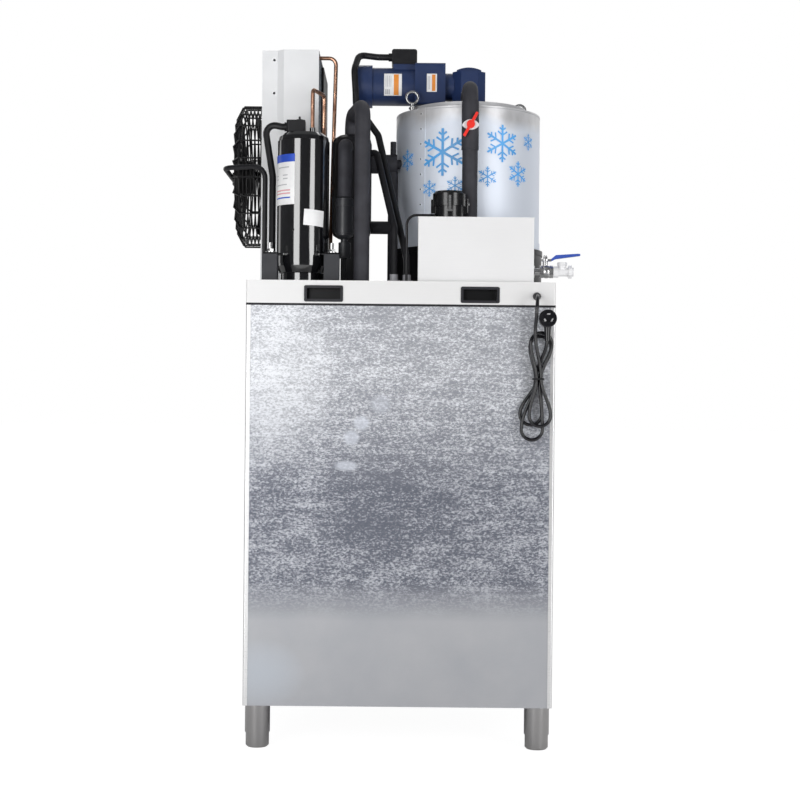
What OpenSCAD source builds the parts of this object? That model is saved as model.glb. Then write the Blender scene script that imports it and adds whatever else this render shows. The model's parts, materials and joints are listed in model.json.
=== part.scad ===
// Flake ice machine: a storage bin on legs, and on its tray the open refrigerating and flaking unit.
// +X is to the right seen from the back, +Y points to the front (the door side), +Z is up.
// The origin is on the floor below the middle of the machine.

/* [Storage bin] */
// Width of the bin
bin_w = 700; // [660:1:760]
// Depth of the bin body without its door
bin_d = 560; // [540:1:600]
// Height of the bin panels
bin_h = 906; // [860:1:960]
// Thickness of the outer sheets
sheet_t = 1.2; // [0.8:0.1:2]
// Width of the side panels' folded edges
edge_w = 11; // [9:1:20]
// Outer radius of the folded edges
fold_r = 4; // [3:0.5:6]
// Thickness of the insulated wall
wall_t = 45; // [35:1:55]
// Thickness of the liner sheet
liner_t = 1.5; // [1:0.1:3]

/* [Door] */
// Width of the bin door
door_w = 560; // [500:1:580]
// Height of the bin door
door_h = 450; // [400:1:470]
// Thickness of the bin door
door_t = 28; // [22:1:34]
// Height of the door's lower edge above the bin's underside
door_sill = 425; // [400:1:430]
// Overlap of the door round the opening
door_lap = 25; // [18:1:32]
// Thickness of the door seal
seal_t = 10; // [6:0.5:12]
// How far the handle stands out of the door
handle_reach = 30; // [26:1:36]

/* [Legs] */
// Height of the bin's underside above the floor
leg_h = 97; // [90:1:120]
// Diameter of a leg tube
leg_od = 57; // [50:1:62]
// Distance of a leg's axis from the bin's side and back
leg_inset = 32; // [31:1:45]
// Diameter of a levelling foot
foot_od = 53; // [46:1:56]
// Height of a foot's visible part
foot_h = 33; // [24:1:40]
// Diameter of a foot's stem
stem_d = 24; // [16:1:28]
// Length of a foot's stem inside the leg
stem_l = 50; // [40:1:55]

/* [Tray] */
// Depth of the tray
tray_d = 600; // [596:1:620]
// Height of the tray
tray_h = 52; // [46:1:60]
// Thickness of the tray's sheet
tray_t = 1.5; // [1:0.1:2.5]
// Thickness of the gasket under the tray
rim_t = 5; // [3:0.5:8]
// Width of the gasket under the tray
rim_w = 40; // [30:1:44]
// Width of a flush pull
pull_w = 88; // [70:1:100]
// Height of a flush pull
pull_h = 37; // [30:1:40]
// Depth of a flush pull
pull_depth = 20; // [14:1:26]
// Place of the left flush pull
pull_left_x = -175; // [-200:1:-140]
// Place of the right flush pull
pull_right_x = 179; // [150:1:200]

/* [Flaking drum] */
// Place of the drum's axis along the width
drum_x = 161; // [156:1:166]
// Distance of the drum's axis from the back
drum_back = 312; // [308:1:330]
// Outer radius of the jacket
jacket_r = 176; // [170:1:178]
// Height of the jacket's straight wall
jacket_h = 329; // [300:1:340]
// Height of the jacket's sloped shoulder
shoulder_h = 8; // [7:1:14]
// Thickness of the jacket's sheet
jacket_t = 1.2; // [1:0.1:2]
// Height of the drum's base
base_h = 96; // [90:1:110]
// Inner radius of the freezing cylinder
freezer_r = 130; // [124:1:132]
// Wall of the freezing cylinder
freezer_t = 9; // [6:1:10]
// Radius of the lid
lid_r = 141; // [140:1:146]
// Height of the lid
lid_h = 8; // [7:1:14]
// Diameter of the scraper shaft
shaft_d = 36; // [30:1:40]
// Number of rivets in the jacket's seam
rivets = 9; // [6:1:12]

/* [Gearmotor] */
// Height of the motor's axis above the lid
motor_rise = 60; // [58:1:70]
// Diameter of the motor barrel
barrel_d = 92; // [84:1:96]
// Length of the motor barrel
barrel_l = 104; // [96:1:112]
// Length of the motor's fan cover
cover_l = 48; // [40:1:54]
// Width of the square gear head
head_w = 102; // [100:1:108]
// Length of the gear head
head_l = 74; // [66:1:80]
// Length of the neck between gear head and gearbox
neck_l = 18; // [14:1:22]
// Width of the right-angle gearbox
box_w = 80; // [74:1:84]

/* [Condenser] */
// Place of the shroud's outer face along the width
shroud_x = -339; // [-345:1:-334]
// Depth of the shroud's wide part
shroud_l = 37; // [32:1:44]
// Depth of the sloped step between shroud and coil
step_l = 16; // [12:1:20]
// Thickness of the coil
coil_t = 84; // [76:1:88]
// Distance of the shroud from the back
shroud_back = 228; // [226:1:232]
// Width of the shroud, front to back
shroud_w = 352; // [351:1:356]
// Height of the shroud
shroud_h = 569; // [550:1:585]
// Thickness of the shroud's sheet
shroud_t = 1.5; // [1:0.1:2.5]
// Radius of the fan guard
guard_r = 175; // [168:1:175]
// Radius of the guard's flat face
guard_face_r = 147; // [135:1:155]
// How far the guard stands out
guard_depth = 72; // [70:1:74]
// Height of the fan's axis above the tray
fan_rise = 288; // [280:1:295]
// Radius of the fan blades
fan_r = 150; // [140:1:154]

/* [Compressor] */
// Place of the compressor along the width
comp_x = -230; // [-232:1:-226]
// Distance of the compressor's axis from the back
comp_back = 110; // [106:1:114]
// Diameter of the compressor
comp_d = 121; // [112:1:124]
// Height of the compressor's top above the tray
comp_h = 351; // [340:1:360]
// Width of a rubber post
post_w = 36; // [30:1:38]
// Height of a rubber post
post_h = 62; // [54:1:66]

/* [Accumulator and drier] */
// Place of the accumulator along the width
acc_x = -120; // [-124:1:-116]
// Distance of the accumulator's axis from the back
acc_back = 210; // [206:1:214]
// Diameter of the accumulator
acc_d = 94; // [86:1:98]
// Height of the accumulator's underside above the tray
acc_rise = 115; // [105:1:120]
// Height of the accumulator
acc_h = 246; // [236:1:252]
// Diameter of the filter drier
drier_d = 41; // [36:1:43]
// Diameter of the lagged suction bend
bend_d = 36; // [30:1:38]

/* [Water] */
// Left end of the water tank
tank_x = 38; // [36:1:44]
// Distance of the tank from the back
tank_back = 15; // [12:1:16]
// Width of the water tank
tank_w = 263; // [255:1:266]
// Depth of the water tank
tank_d = 98; // [92:1:99]
// Height of the water tank
tank_h = 148; // [140:1:152]
// Diameter of the circulating pump
pump_d = 76; // [68:1:78]
// Height of the pump above the tank
pump_h = 62; // [54:1:70]
// Diameter of the lagged water hose
hose_d = 36; // [30:1:38]
// Height of the flow valve above the tray
flow_rise = 368; // [362:1:376]
// Turn of the flow valve's handle from the hose at rest
flow_turn = 29; // [0:1:90]

/* [Clearances] */
// Gap between parts that move past each other
run_gap = 0.4; // [0.3:0.1:0.6]
// Gap round a part that sits in a hole
seat_gap = 0.2; // [0.1:0.1:0.4]

/* [Hidden] */
$fn = 64;

// Levels and planes of the bin
back_y = -(bin_d + run_gap + seal_t + door_t + handle_reach) / 2;
front_y = back_y + bin_d;
mid_y = back_y + bin_d / 2;
bin_z = leg_h;
bin_top = bin_z + bin_h;
tray_z = bin_top + rim_t;
deck_z = tray_z + tray_h;
leg_x = bin_w / 2 - leg_inset;
leg_ys = [back_y + leg_inset, front_y - leg_inset];
foot_hole_d = stem_d + 2 * run_gap;

// Door opening and hinge
open_w = door_w - 2 * door_lap;
open_h = door_h - 2 * door_lap;
door_z = bin_z + door_sill;
open_z = door_z + door_lap;
seal_y = front_y + run_gap;
door_y = seal_y + seal_t;
hinge_x = door_w / 2 + 14;
hinge_y = door_y + door_t / 2;
hinge_pin_r = 4;
hinge_ear_h = 40;
hinge_zs = [door_z + 40, door_z + door_h - 40 - hinge_ear_h];

// Drum levels
drum_y = back_y + drum_back;
base_top = deck_z + base_h;
wall_top = base_top + jacket_h;
lid_z = wall_top + shoulder_h;
lid_top = lid_z + lid_h;
drop_r = freezer_r - 4;
flange_r = jacket_r + 9;
shaft_r = shaft_d / 2;
bearing_r = shaft_r + run_gap;
seam_angle = 229;
eye_out = (jacket_r + lid_r) / 2 - 2;
eye_angles = [208, 32];
eye_stud_r = 5;

// Gearmotor along the width, from the gearbox to the fan cover
motor_z = lid_top + motor_rise;
gearbox_x = drum_x - box_w / 2;
head_x = gearbox_x - neck_l - head_l;
barrel_x = head_x - barrel_l;
cover_x = barrel_x - cover_l;
term_w = 62;
term_h = 36;
term_x = head_x + 5 - term_w;
term_z = motor_z + head_w / 2 + seat_gap;

// Condenser and fan
step_out = 14;
step_x = shroud_x + shroud_l;
coil_x = step_x + step_l;
coil_right = coil_x + coil_t;
shroud_y = back_y + shroud_back;
shroud_far = shroud_y + shroud_w;
coil_y = shroud_y - step_out;
coil_far = shroud_far + step_out;
fan_y = shroud_y + shroud_w / 2;
fan_z = deck_z + fan_rise;
guard_wire = 2;
guard_plate_t = 6.5;
guard_x = shroud_x - guard_depth;
guard_plate_x = guard_x - guard_wire - 0.5;

// Compressor, accumulator, drier
comp_y = back_y + comp_back;
comp_r = comp_d / 2;
comp_foot = 15;
comp_top = deck_z + comp_h;
post_side = comp_r + 10;
post_near = comp_r - 0.5;
post_back = comp_r + post_w / 2 + 3;
post_spots = [[-post_side, -post_near], [post_side, -post_near], [0, post_back]];
acc_y = back_y + acc_back;
acc_r = acc_d / 2;
acc_z = deck_z + acc_rise;
acc_top = acc_z + acc_h;

// Water tank, hose and valves
tank_y = back_y + tank_back;
tank_right = tank_x + tank_w;
tank_top = deck_z + tank_h;
pump_x = tank_x + 71;
pump_y = tank_y + tank_d / 2 - 5;
hose_x = drum_x - 4;
hose_y = tank_y + tank_d - hose_d / 2 - 1;
flow_z = deck_z + flow_rise;
inlet_y = tank_y + tank_d / 2;
inlet_z = deck_z + 29;

// Route of the power cord from its grommet to the hank, then the places of what is on it
cord_d = 8;
cord_x = 307;
cord_z = tray_z + 20;
grommet_out = 15;
cord_route = [
  [307, -324, 1028], [307, -332, 1028], [306, -344.6, 1025.5], [305, -355.3, 1018.3], [304, -362.5, 1007.6],
  [303, -365, 995], [302.7, -362.7, 982.5], [302, -357.3, 970], [301.3, -351.8, 957.5], [301, -349.5, 945],
  [301.6, -349.2, 932], [303.2, -348.2, 919], [305.6, -346.8, 906], [308.5, -345, 893], [310, -340, 880],
];
cord_tail = [[317, -334, 876], [318, -338, 886], [322.5, -345, 902], [326.5, -350.8, 916], [328, -353, 930]];
hank_y = -344.5;
hank_t = 25;
hank_x = 310;
hank_mid = 841;
hank_low_x = 304;
hank_low = 700;
hank_low_r = 38;
hank_high_x = 316;
hank_high = 949;
hank_high_r = 28.5;
plug_x = 328;
plug_z = 976;
plug_r = 20;
plug_y = -366;
plug_h = 26;

// Helpers

function unit(v) = v / norm(v);
function pick_side(t) = abs(t[2]) < 0.9 ? unit(cross([0, 0, 1], t)) : unit(cross([0, 1, 0], t));

// Places children with their Z axis along t, at p
module aim(p, t, side) {
  n = is_undef(side) ? pick_side(t) : side;
  b = cross(t, n);
  multmatrix([
    [n[0], b[0], t[0], p[0]],
    [n[1], b[1], t[1], p[1]],
    [n[2], b[2], t[2], p[2]],
    [0, 0, 0, 1],
  ]) children();
}

// Round bar from p to q
module rod(p, q, r) {
  aim(p, unit(q - p)) cylinder(h = norm(q - p), r = r);
}

// Length of straight pipe that the bend at corner i takes up
function bend_reach(pts, i, bend) =
  (i == 0 || i == len(pts) - 1) ? 0 :
  bend * tan((180 - acos(unit(pts[i - 1] - pts[i]) * unit(pts[i + 1] - pts[i]))) / 2);

// Pipe through the corner points, with every corner bent to one radius; straight runs lap over the bends
module pipe(pts, r, bend) {
  lap = 0.6;
  for (i = [0:len(pts) - 2]) {
    t = unit(pts[i + 1] - pts[i]);
    p = pts[i] + t * (bend_reach(pts, i, bend) - (i > 0 ? lap : 0));
    q = pts[i + 1] - t * (bend_reach(pts, i + 1, bend) - (i < len(pts) - 2 ? lap : 0));
    rod(p, q, r + 0.05);
  }
  for (i = [1:len(pts) - 2]) {
    a = unit(pts[i - 1] - pts[i]);
    b = unit(pts[i + 1] - pts[i]);
    turn = 180 - acos(a * b);
    centre = pts[i] + unit(a + b) * bend / cos(turn / 2);
    start = unit(pts[i] + a * bend_reach(pts, i, bend) - centre);
    stop = unit(pts[i] + b * bend_reach(pts, i, bend) - centre);
    aim(centre, unit(cross(start, stop)), start)
      rotate_extrude(angle = turn) translate([bend, 0]) circle(r);
  }
}

// Corner points with each corner replaced by points on its bend
function bend_points(pts, bend, steps) = concat([pts[0]], [for (i = [1:len(pts) - 2])
  let (a = unit(pts[i - 1] - pts[i]), b = unit(pts[i + 1] - pts[i]), turn = 180 - acos(a * b),
       centre = pts[i] + unit(a + b) * bend / cos(turn / 2),
       start = unit(pts[i] + a * bend_reach(pts, i, bend) - centre))
    for (k = [0:steps]) centre + bend * (cos(turn * k / steps) * start - sin(turn * k / steps) * a)],
  [pts[len(pts) - 1]]);

function tangent(pts, i) = unit(pts[min(i + 1, len(pts) - 1)] - pts[max(i - 1, 0)]);
function square_off(s, t) = unit(s - (s * t) * t);

// One side vector for each point, carried along the route without twist
function ring_sides(pts) = [
  for (i = 0, s = pick_side(tangent(pts, 0)); i < len(pts);
       i = i + 1, s = i < len(pts) ? square_off(s, tangent(pts, i)) : s) s,
];

// Tube swept along a list of points
module swept_tube(pts, r, sides) {
  n = len(pts);
  across = ring_sides(pts);
  rings = [for (i = [0:n - 1])
    let (s = across[i], b = cross(tangent(pts, i), s))
      for (k = [0:sides - 1]) pts[i] + r * (cos(360 * k / sides) * s + sin(360 * k / sides) * b)];
  walls = [for (i = [0:n - 2], k = [0:sides - 1])
    let (m = (k + 1) % sides) [i * sides + k, (i + 1) * sides + k, (i + 1) * sides + m, i * sides + m]];
  first = [for (k = [0:sides - 1]) k];
  last = [for (k = [0:sides - 1]) n * sides - 1 - k];
  polyhedron(rings, concat(walls, [first, last]));
}

// Bent tube of many flats, for flexible or closely bent runs
module bent_tube(pts, r, bend) {
  swept_tube(bend_points(pts, bend, 6), r, 12);
}

// Rectangle with round corners, centred
module round_rect(w, d, r) {
  square([w - 2 * r, d], center = true);
  square([w, d - 2 * r], center = true);
  for (x = [-1, 1], y = [-1, 1])
    translate([x * (w / 2 - r), y * (d / 2 - r)]) circle(r);
}

// Block given by its lowest and highest corners
module block(low, high) {
  translate(low) cube(high - low);
}

// Hexagonal head or nut, h tall
module hex(across, h) {
  cylinder(h = h, d = across / cos(30), $fn = 6);
}

// Storage bin

// Folded sheet of one side with its back and front edges
module side_panel() {
  translate([0, mid_y, bin_z]) linear_extrude(bin_h) intersection() {
    difference() {
      round_rect(bin_w, bin_d, fold_r);
      round_rect(bin_w - 2 * sheet_t, bin_d - 2 * sheet_t, fold_r - sheet_t);
    }
    translate([-bin_w / 2, -bin_d / 2]) square([edge_w, bin_d]);
  }
}

module left_side_panel() {
  color("gainsboro") side_panel();
}

module right_side_panel() {
  color("gainsboro") mirror([1, 0, 0]) side_panel();
}

module back_panel() {
  inner = bin_w / 2 - fold_r;
  color("silver") block([-inner, back_y + sheet_t, bin_z], [inner, back_y + 2 * sheet_t, bin_top]);
}

module bottom_panel() {
  inner = bin_w / 2 - sheet_t;
  color("silver")
    block([-inner, back_y + fold_r, bin_z], [inner, front_y - fold_r, bin_z + sheet_t]);
}

// Front made of a sill, a header and two stiles round the door opening
module front_panel() {
  inner = bin_w / 2 - fold_r;
  inside_y = front_y - 2 * sheet_t;
  outside_y = front_y - sheet_t;
  open_top = open_z + open_h;
  color("gainsboro") {
    block([-inner, inside_y, bin_z], [inner, outside_y, open_z]);
    block([-inner, inside_y, open_top], [inner, outside_y, bin_top]);
    block([-inner, inside_y, open_z + seat_gap], [-open_w / 2, outside_y, open_top - seat_gap]);
    block([open_w / 2, inside_y, open_z + seat_gap], [inner, outside_y, open_top - seat_gap]);
  }
}

// Outside of the liner: the ice room and the throat to the door, grown by g
module liner_room(g) {
  block([-bin_w / 2 + wall_t - g, back_y + wall_t - g, bin_z + wall_t - g],
        [bin_w / 2 - wall_t + g, front_y - wall_t + g, bin_top + (g < 0 ? 1 : 0)]);
  block([-open_w / 2 - liner_t - g, mid_y, open_z - liner_t - g],
        [open_w / 2 + liner_t + g, front_y - 2 * sheet_t + (g < 0 ? 1 : 0), open_z + open_h + liner_t + g]);
}

module bin_liner() {
  color("whitesmoke") difference() {
    liner_room(0);
    liner_room(-liner_t);
  }
}

module foam_insulation() {
  inner = bin_w / 2 - sheet_t;
  color("khaki") {
    difference() {
      block([-inner, back_y + fold_r, bin_z + sheet_t], [inner, front_y - fold_r, bin_top]);
      liner_room(0);
    }
    translate([drum_x, drum_y, base_top]) difference() {
      cylinder(h = jacket_h, r = jacket_r - jacket_t - 2.5);
      translate([0, 0, -1]) cylinder(h = jacket_h + 2, r = freezer_r + freezer_t + seat_gap);
    }
  }
}

module bin_door() {
  color("gainsboro") {
    translate([0, door_y + door_t, door_z + door_h / 2]) rotate([90, 0, 0])
      linear_extrude(door_t) round_rect(door_w, door_h, 8);
    for (z = hinge_zs) difference() {
      union() {
        block([door_w / 2 - 10, hinge_y - 3, z + 1], [hinge_x, hinge_y + 3, z + hinge_ear_h - 1]);
        translate([hinge_x, hinge_y, z + 1]) cylinder(h = hinge_ear_h - 2, r = 8);
      }
      translate([hinge_x, hinge_y, z]) cylinder(h = hinge_ear_h, r = hinge_pin_r + run_gap);
    }
  }
}

module door_seal() {
  color("dimgray") translate([0, door_y, door_z + door_h / 2]) rotate([90, 0, 0])
    linear_extrude(seal_t) difference() {
      round_rect(door_w - 10, door_h - 10, 8);
      round_rect(open_w + 10, open_h + 10, 6);
    }
}

module door_handle() {
  bar_r = 7;
  bar_x = -door_w / 2 + 45;
  bar_y = door_y + door_t + handle_reach - bar_r;
  z0 = door_z + door_h / 2 - 90;
  color("silver")
    pipe([[bar_x, door_y + door_t, z0], [bar_x, bar_y, z0], [bar_x, bar_y, z0 + 180],
          [bar_x, door_y + door_t, z0 + 180]], bar_r, 14);
}

module door_hinges() {
  leaf_y = front_y - sheet_t;
  leaf_t = 4;
  lug_t = 6;
  color("silver") for (z = hinge_zs) {
    translate([hinge_x, hinge_y, z - lug_t]) cylinder(h = hinge_ear_h + 2 * lug_t, r = hinge_pin_r);
    for (end = [z - lug_t, z + hinge_ear_h])
      block([hinge_x - 8, leaf_y, end], [hinge_x + 8, hinge_y + 8, end + lug_t]);
    block([hinge_x + 4, leaf_y, z - lug_t], [hinge_x + 26, leaf_y + leaf_t, z + hinge_ear_h + lug_t]);
  }
}

module leg_tubes() {
  color("silver") for (x = [-leg_x, leg_x], y = leg_ys) translate([x, y, foot_h + run_gap]) difference() {
    union() {
      cylinder(h = leg_h - foot_h - run_gap, d = leg_od);
      translate([0, 0, leg_h - foot_h - run_gap - 4]) cylinder(h = 4, d = leg_od + 4);
    }
    translate([0, 0, -1]) cylinder(h = stem_l + 6, d = foot_hole_d);
  }
}

// Levelling foot with its stem, standing on the floor
module foot(x, y) {
  color("silver") translate([x, y, 0]) {
    rotate_extrude()
      polygon([[0, 0], [foot_od / 2 - 4, 0], [foot_od / 2, 4], [foot_od / 2, foot_h], [0, foot_h]]);
    cylinder(h = foot_h + stem_l, d = stem_d);
  }
}

module foot_rear_left() {
  foot(-leg_x, leg_ys[0]);
}

module foot_rear_right() {
  foot(leg_x, leg_ys[0]);
}

module foot_front_left() {
  foot(-leg_x, leg_ys[1]);
}

module foot_front_right() {
  foot(leg_x, leg_ys[1]);
}

// Tray and what is fitted in its back edge

module tray_gasket() {
  color("black") difference() {
    block([-bin_w / 2, back_y, bin_top], [bin_w / 2, front_y, tray_z]);
    block([-bin_w / 2 + rim_w, back_y + rim_w, bin_top - 1], [bin_w / 2 - rim_w, front_y - rim_w, tray_z + 1]);
  }
}

pull_lip = 4;
pull_mid = tray_z + tray_h / 2 - 4;
pull_xs = [pull_left_x, pull_right_x];

module base_tray() {
  tray_mid = back_y + tray_d / 2;
  color("gainsboro") difference() {
    translate([0, tray_mid, tray_z]) linear_extrude(tray_h) round_rect(bin_w, tray_d, fold_r);
    translate([0, tray_mid, tray_z - 1]) linear_extrude(tray_h + 1 - tray_t)
      round_rect(bin_w - 2 * tray_t, tray_d - 2 * tray_t, fold_r - tray_t);
    translate([drum_x, drum_y, tray_z]) cylinder(h = tray_h + 1, r = drop_r);
    for (x = pull_xs)
      translate([x, back_y, pull_mid])
        cube([pull_w - 2 * pull_lip + 2 * seat_gap, 4 * tray_t, pull_h - 2 * pull_lip + 2 * seat_gap], center = true);
    translate([cord_x, back_y + 3 * tray_t, cord_z]) rotate([90, 0, 0]) cylinder(h = 6 * tray_t, r = 7 + seat_gap);
  }
}

// Recessed cup with a lip that lies on the tray's back edge
module flush_pulls() {
  wall = 2;
  cup_w = pull_w - 2 * pull_lip;
  cup_h = pull_h - 2 * pull_lip;
  color("black") for (x = pull_xs) translate([x, back_y, pull_mid]) rotate([90, 0, 0]) difference() {
    union() {
      linear_extrude(wall) round_rect(pull_w, pull_h, 4);
      translate([0, 0, -pull_depth]) linear_extrude(pull_depth + wall) square([cup_w, cup_h], center = true);
    }
    translate([0, 0, wall - pull_depth]) linear_extrude(pull_depth + wall)
      square([cup_w - 2 * wall, cup_h - 2 * wall], center = true);
  }
}

module cord_grommet() {
  color("black") translate([cord_x, back_y + tray_t + 2, cord_z]) rotate([90, 0, 0]) {
    cylinder(h = 2, r = 9);
    cylinder(h = tray_t + 2, r = 7);
    translate([0, 0, tray_t + 2]) rotate_extrude()
      polygon([[0, 0], [9, 0], [9, 2], [cord_d / 2 + 1.5, grommet_out], [0, grommet_out]]);
  }
}

module power_cord() {
  color("black") {
    swept_tube(cord_route, cord_d / 2, 10);
    swept_tube(cord_tail, cord_d / 2, 10);
  }
}

// Outer shape of the tied hank: a short loop above the tie and a longer one below it
module cord_hank() {
  waist = 10;
  low_z = hank_low + hank_low_r;
  high_z = hank_high - hank_high_r;
  color("black") translate([0, hank_y + hank_t, 0]) rotate([90, 0, 0]) linear_extrude(hank_t) {
    translate([hank_low_x, low_z]) circle(hank_low_r);
    polygon([
      [hank_low_x - hank_low_r, low_z], [hank_low_x + hank_low_r, low_z], [hank_x + waist, hank_mid],
      [hank_high_x + hank_high_r, high_z], [hank_high_x - hank_high_r, high_z], [hank_x - waist, hank_mid],
    ]);
    translate([hank_high_x, high_z]) circle(hank_high_r);
  }
}

module cord_tie() {
  color("dimgray") translate([hank_x, hank_y + hank_t / 2, hank_mid]) difference() {
    cube([26, hank_t + 4, 4], center = true);
    cube([22.6, hank_t + 2 * seat_gap, 6], center = true);
  }
}

// Round plug with three flat pins and a ribbed neck
module power_plug() {
  color("black") translate([plug_x, plug_y, plug_z]) rotate([90, 0, 0]) {
    rotate_extrude()
      polygon([[0, -plug_h], [plug_r - 3, -plug_h], [plug_r, 3 - plug_h], [plug_r, -2], [plug_r - 2, 0], [0, 0]]);
    for (a = [90, 210, 330]) rotate(a) translate([9, 0, 0]) block([-0.9, -3, -1], [0.9, 3, 17]);
  }
  color("black") translate([plug_x, plug_y + plug_h / 2, plug_z - plug_r - 30])
    rotate_extrude() polygon([[0, 0], [6, 0], [8.5, 34], [0, 34]]);
}

// Flaking drum

// Cast base with two flanges, and a spider that carries the lower bearing of the shaft
module drum_base() {
  flange_t = 12;
  hub_r = shaft_r + 14;
  color("black") translate([drum_x, drum_y, deck_z]) {
    difference() {
      union() {
        cylinder(h = base_h, r = flange_r - 2);
        cylinder(h = flange_t, r = flange_r);
        translate([0, 0, base_h - flange_t]) cylinder(h = flange_t, r = flange_r);
      }
      translate([0, 0, -1]) cylinder(h = base_h + 2, r = drop_r);
    }
    difference() {
      union() {
        translate([0, 0, 8]) cylinder(h = 40, r = hub_r);
        for (a = [30, 150, 270]) rotate(a)
          block([hub_r - 4, -7, 12], [drop_r + 2, 7, 40]);
      }
      translate([0, 0, 7]) cylinder(h = 42, r = bearing_r);
    }
  }
}

module freezing_cylinder() {
  color("silver") translate([drum_x, drum_y, base_top]) difference() {
    cylinder(h = jacket_h, r = freezer_r + freezer_t);
    translate([0, 0, -1]) cylinder(h = jacket_h + 2, r = freezer_r);
  }
}

// Rolled jacket with its foot hoop, its shoulder, the lapped seam and the seam's rivets
module drum_jacket() {
  seam_w = 22;
  hoop_h = 20;
  rivet_low = hoop_h + 8;
  rivet_pitch = (jacket_h - rivet_low - 14) / (rivets - 1);
  color("lightsteelblue") translate([drum_x, drum_y, base_top]) {
    difference() {
      rotate_extrude() polygon([
        [jacket_r - jacket_t, 0], [jacket_r + 2, 0], [jacket_r + 2, hoop_h], [jacket_r, hoop_h], [jacket_r, jacket_h],
        [lid_r, jacket_h + shoulder_h], [lid_r - 3, jacket_h + shoulder_h], [jacket_r - jacket_t - 2, jacket_h],
        [jacket_r - jacket_t, jacket_h - 2],
      ]);
      for (a = eye_angles) rotate(a) translate([eye_out, 0, jacket_h - 5])
        cylinder(h = shoulder_h + 9, r = eye_stud_r + seat_gap);
    }
    intersection() {
      difference() {
        cylinder(h = jacket_h, r = jacket_r + 1);
        translate([0, 0, -1]) cylinder(h = jacket_h + 2, r = jacket_r - 0.5);
      }
      rotate(seam_angle) block([0, -seam_w / 2, 0], [jacket_r + 9, seam_w / 2, jacket_h]);
    }
    for (i = [0:rivets - 1]) rotate(seam_angle) translate([jacket_r + 0.5, 0, rivet_low + i * rivet_pitch])
      rotate([0, 90, 0]) cylinder(h = 2, r1 = 3, r2 = 1.8);
  }
}

// Lid with its raised rim and the water ring below it
module drum_lid() {
  rim = 6;
  ring_out = freezer_r - 8;
  color("gainsboro") translate([drum_x, drum_y, wall_top]) difference() {
    union() {
      translate([0, 0, shoulder_h]) cylinder(h = lid_h, r = lid_r + 1);
      cylinder(h = shoulder_h, r = lid_r - 4);
      translate([0, 0, -14]) cylinder(h = 15, r = ring_out);
      block([hose_x - drum_x - 16, hose_end - drum_y, shoulder_h + 2],
            [hose_x - drum_x + 16, -62, shoulder_h + lid_h + 34]);
    }
    translate([0, 0, shoulder_h + lid_h - 2]) difference() {
      cylinder(h = 3, r = lid_r + 1 - rim);
      cylinder(h = 3, r = 90);
    }
    translate([0, 0, -15]) cylinder(h = 15, r = ring_out - 12);
    translate([0, 0, -15]) cylinder(h = shoulder_h + lid_h + 20, r = bearing_r);
  }
}

// Lifting eyes that stand on the shoulder of the jacket, their studs down to the foam
module eye_bolts() {
  ring_r = 14;
  wire_r = 3.2;
  ring_rise = 14;
  color("silver") for (a = eye_angles)
    translate([drum_x, drum_y, wall_top]) rotate(a) translate([eye_out, 0, 0]) rotate(-a) {
      cylinder(h = shoulder_h + ring_rise - 0.5, r = eye_stud_r);
      translate([0, 0, shoulder_h]) cylinder(h = 4, r = 8.5);
      translate([0, 0, shoulder_h + ring_rise + ring_r]) rotate([90, 0, 0])
        rotate_extrude() translate([ring_r, 0]) circle(wire_r);
    }
}

// Scraper

module scraper_shaft() {
  low = deck_z + 10;
  color("silver") {
    translate([drum_x, drum_y, low]) cylinder(h = lid_top + 34 - low, r = shaft_r);
    translate([drum_x, drum_y, deck_z + 48 + run_gap]) cylinder(h = 6, r = shaft_r + 8);
  }
}

// Three upright blades, each on two arms, that shave the ice off the freezing cylinder
module scraper_blades() {
  blade_gap = 1.5;
  blade_z = base_top + 12;
  blade_h = jacket_h - 12 - 14 - 16;
  arm_zs = [blade_z + 40, blade_z + blade_h - 60];
  reach = freezer_r - blade_gap;
  color("silver") translate([drum_x, drum_y, 0]) {
    for (z = arm_zs) difference() {
      union() {
        translate([0, 0, z]) cylinder(h = 24, r = shaft_r + 10);
        for (a = [0, 120, 240]) rotate(a) block([shaft_r + 6, -6, z + 4], [reach - 14, 6, z + 20]);
      }
      translate([0, 0, z - 1]) cylinder(h = 26, r = shaft_r + seat_gap);
    }
    for (a = [0, 120, 240]) rotate(a) translate([0, 0, blade_z]) linear_extrude(blade_h)
      polygon([[reach - 16, -8], [reach - 6, -8], [reach - 1, 6], [reach - 16, 8]]);
  }
}

// Gearmotor

module gearbox() {
  box_d = 96;
  chamfer = 20;
  top_z = motor_z + 32;
  flange_h = 10;
  crown_r = 70;
  color("midnightblue") difference() {
    union() {
      translate([drum_x, drum_y, lid_top]) cylinder(h = flange_h, r = 58);
      translate([drum_x, drum_y, lid_top]) linear_extrude(top_z - lid_top) polygon([
        [chamfer - box_w / 2, -box_d / 2], [box_w / 2 - chamfer, -box_d / 2], [box_w / 2, chamfer - box_d / 2],
        [box_w / 2, box_d / 2 - chamfer], [box_w / 2 - chamfer, box_d / 2], [chamfer - box_w / 2, box_d / 2],
        [-box_w / 2, box_d / 2 - chamfer], [-box_w / 2, chamfer - box_d / 2],
      ]);
      intersection() {
        translate([drum_x, drum_y + 28, top_z + 12 - crown_r]) rotate([90, 0, 0]) cylinder(h = 56, r = crown_r);
        translate([drum_x, drum_y, top_z - 4]) linear_extrude(30) square([box_w - 20, 56], center = true);
      }
      translate([gearbox_x - neck_l, drum_y, motor_z]) rotate([0, 90, 0]) cylinder(h = neck_l + 4, r = 34);
    }
    translate([drum_x, drum_y, lid_top - 1]) cylinder(h = 40, r = bearing_r);
  }
}

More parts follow.
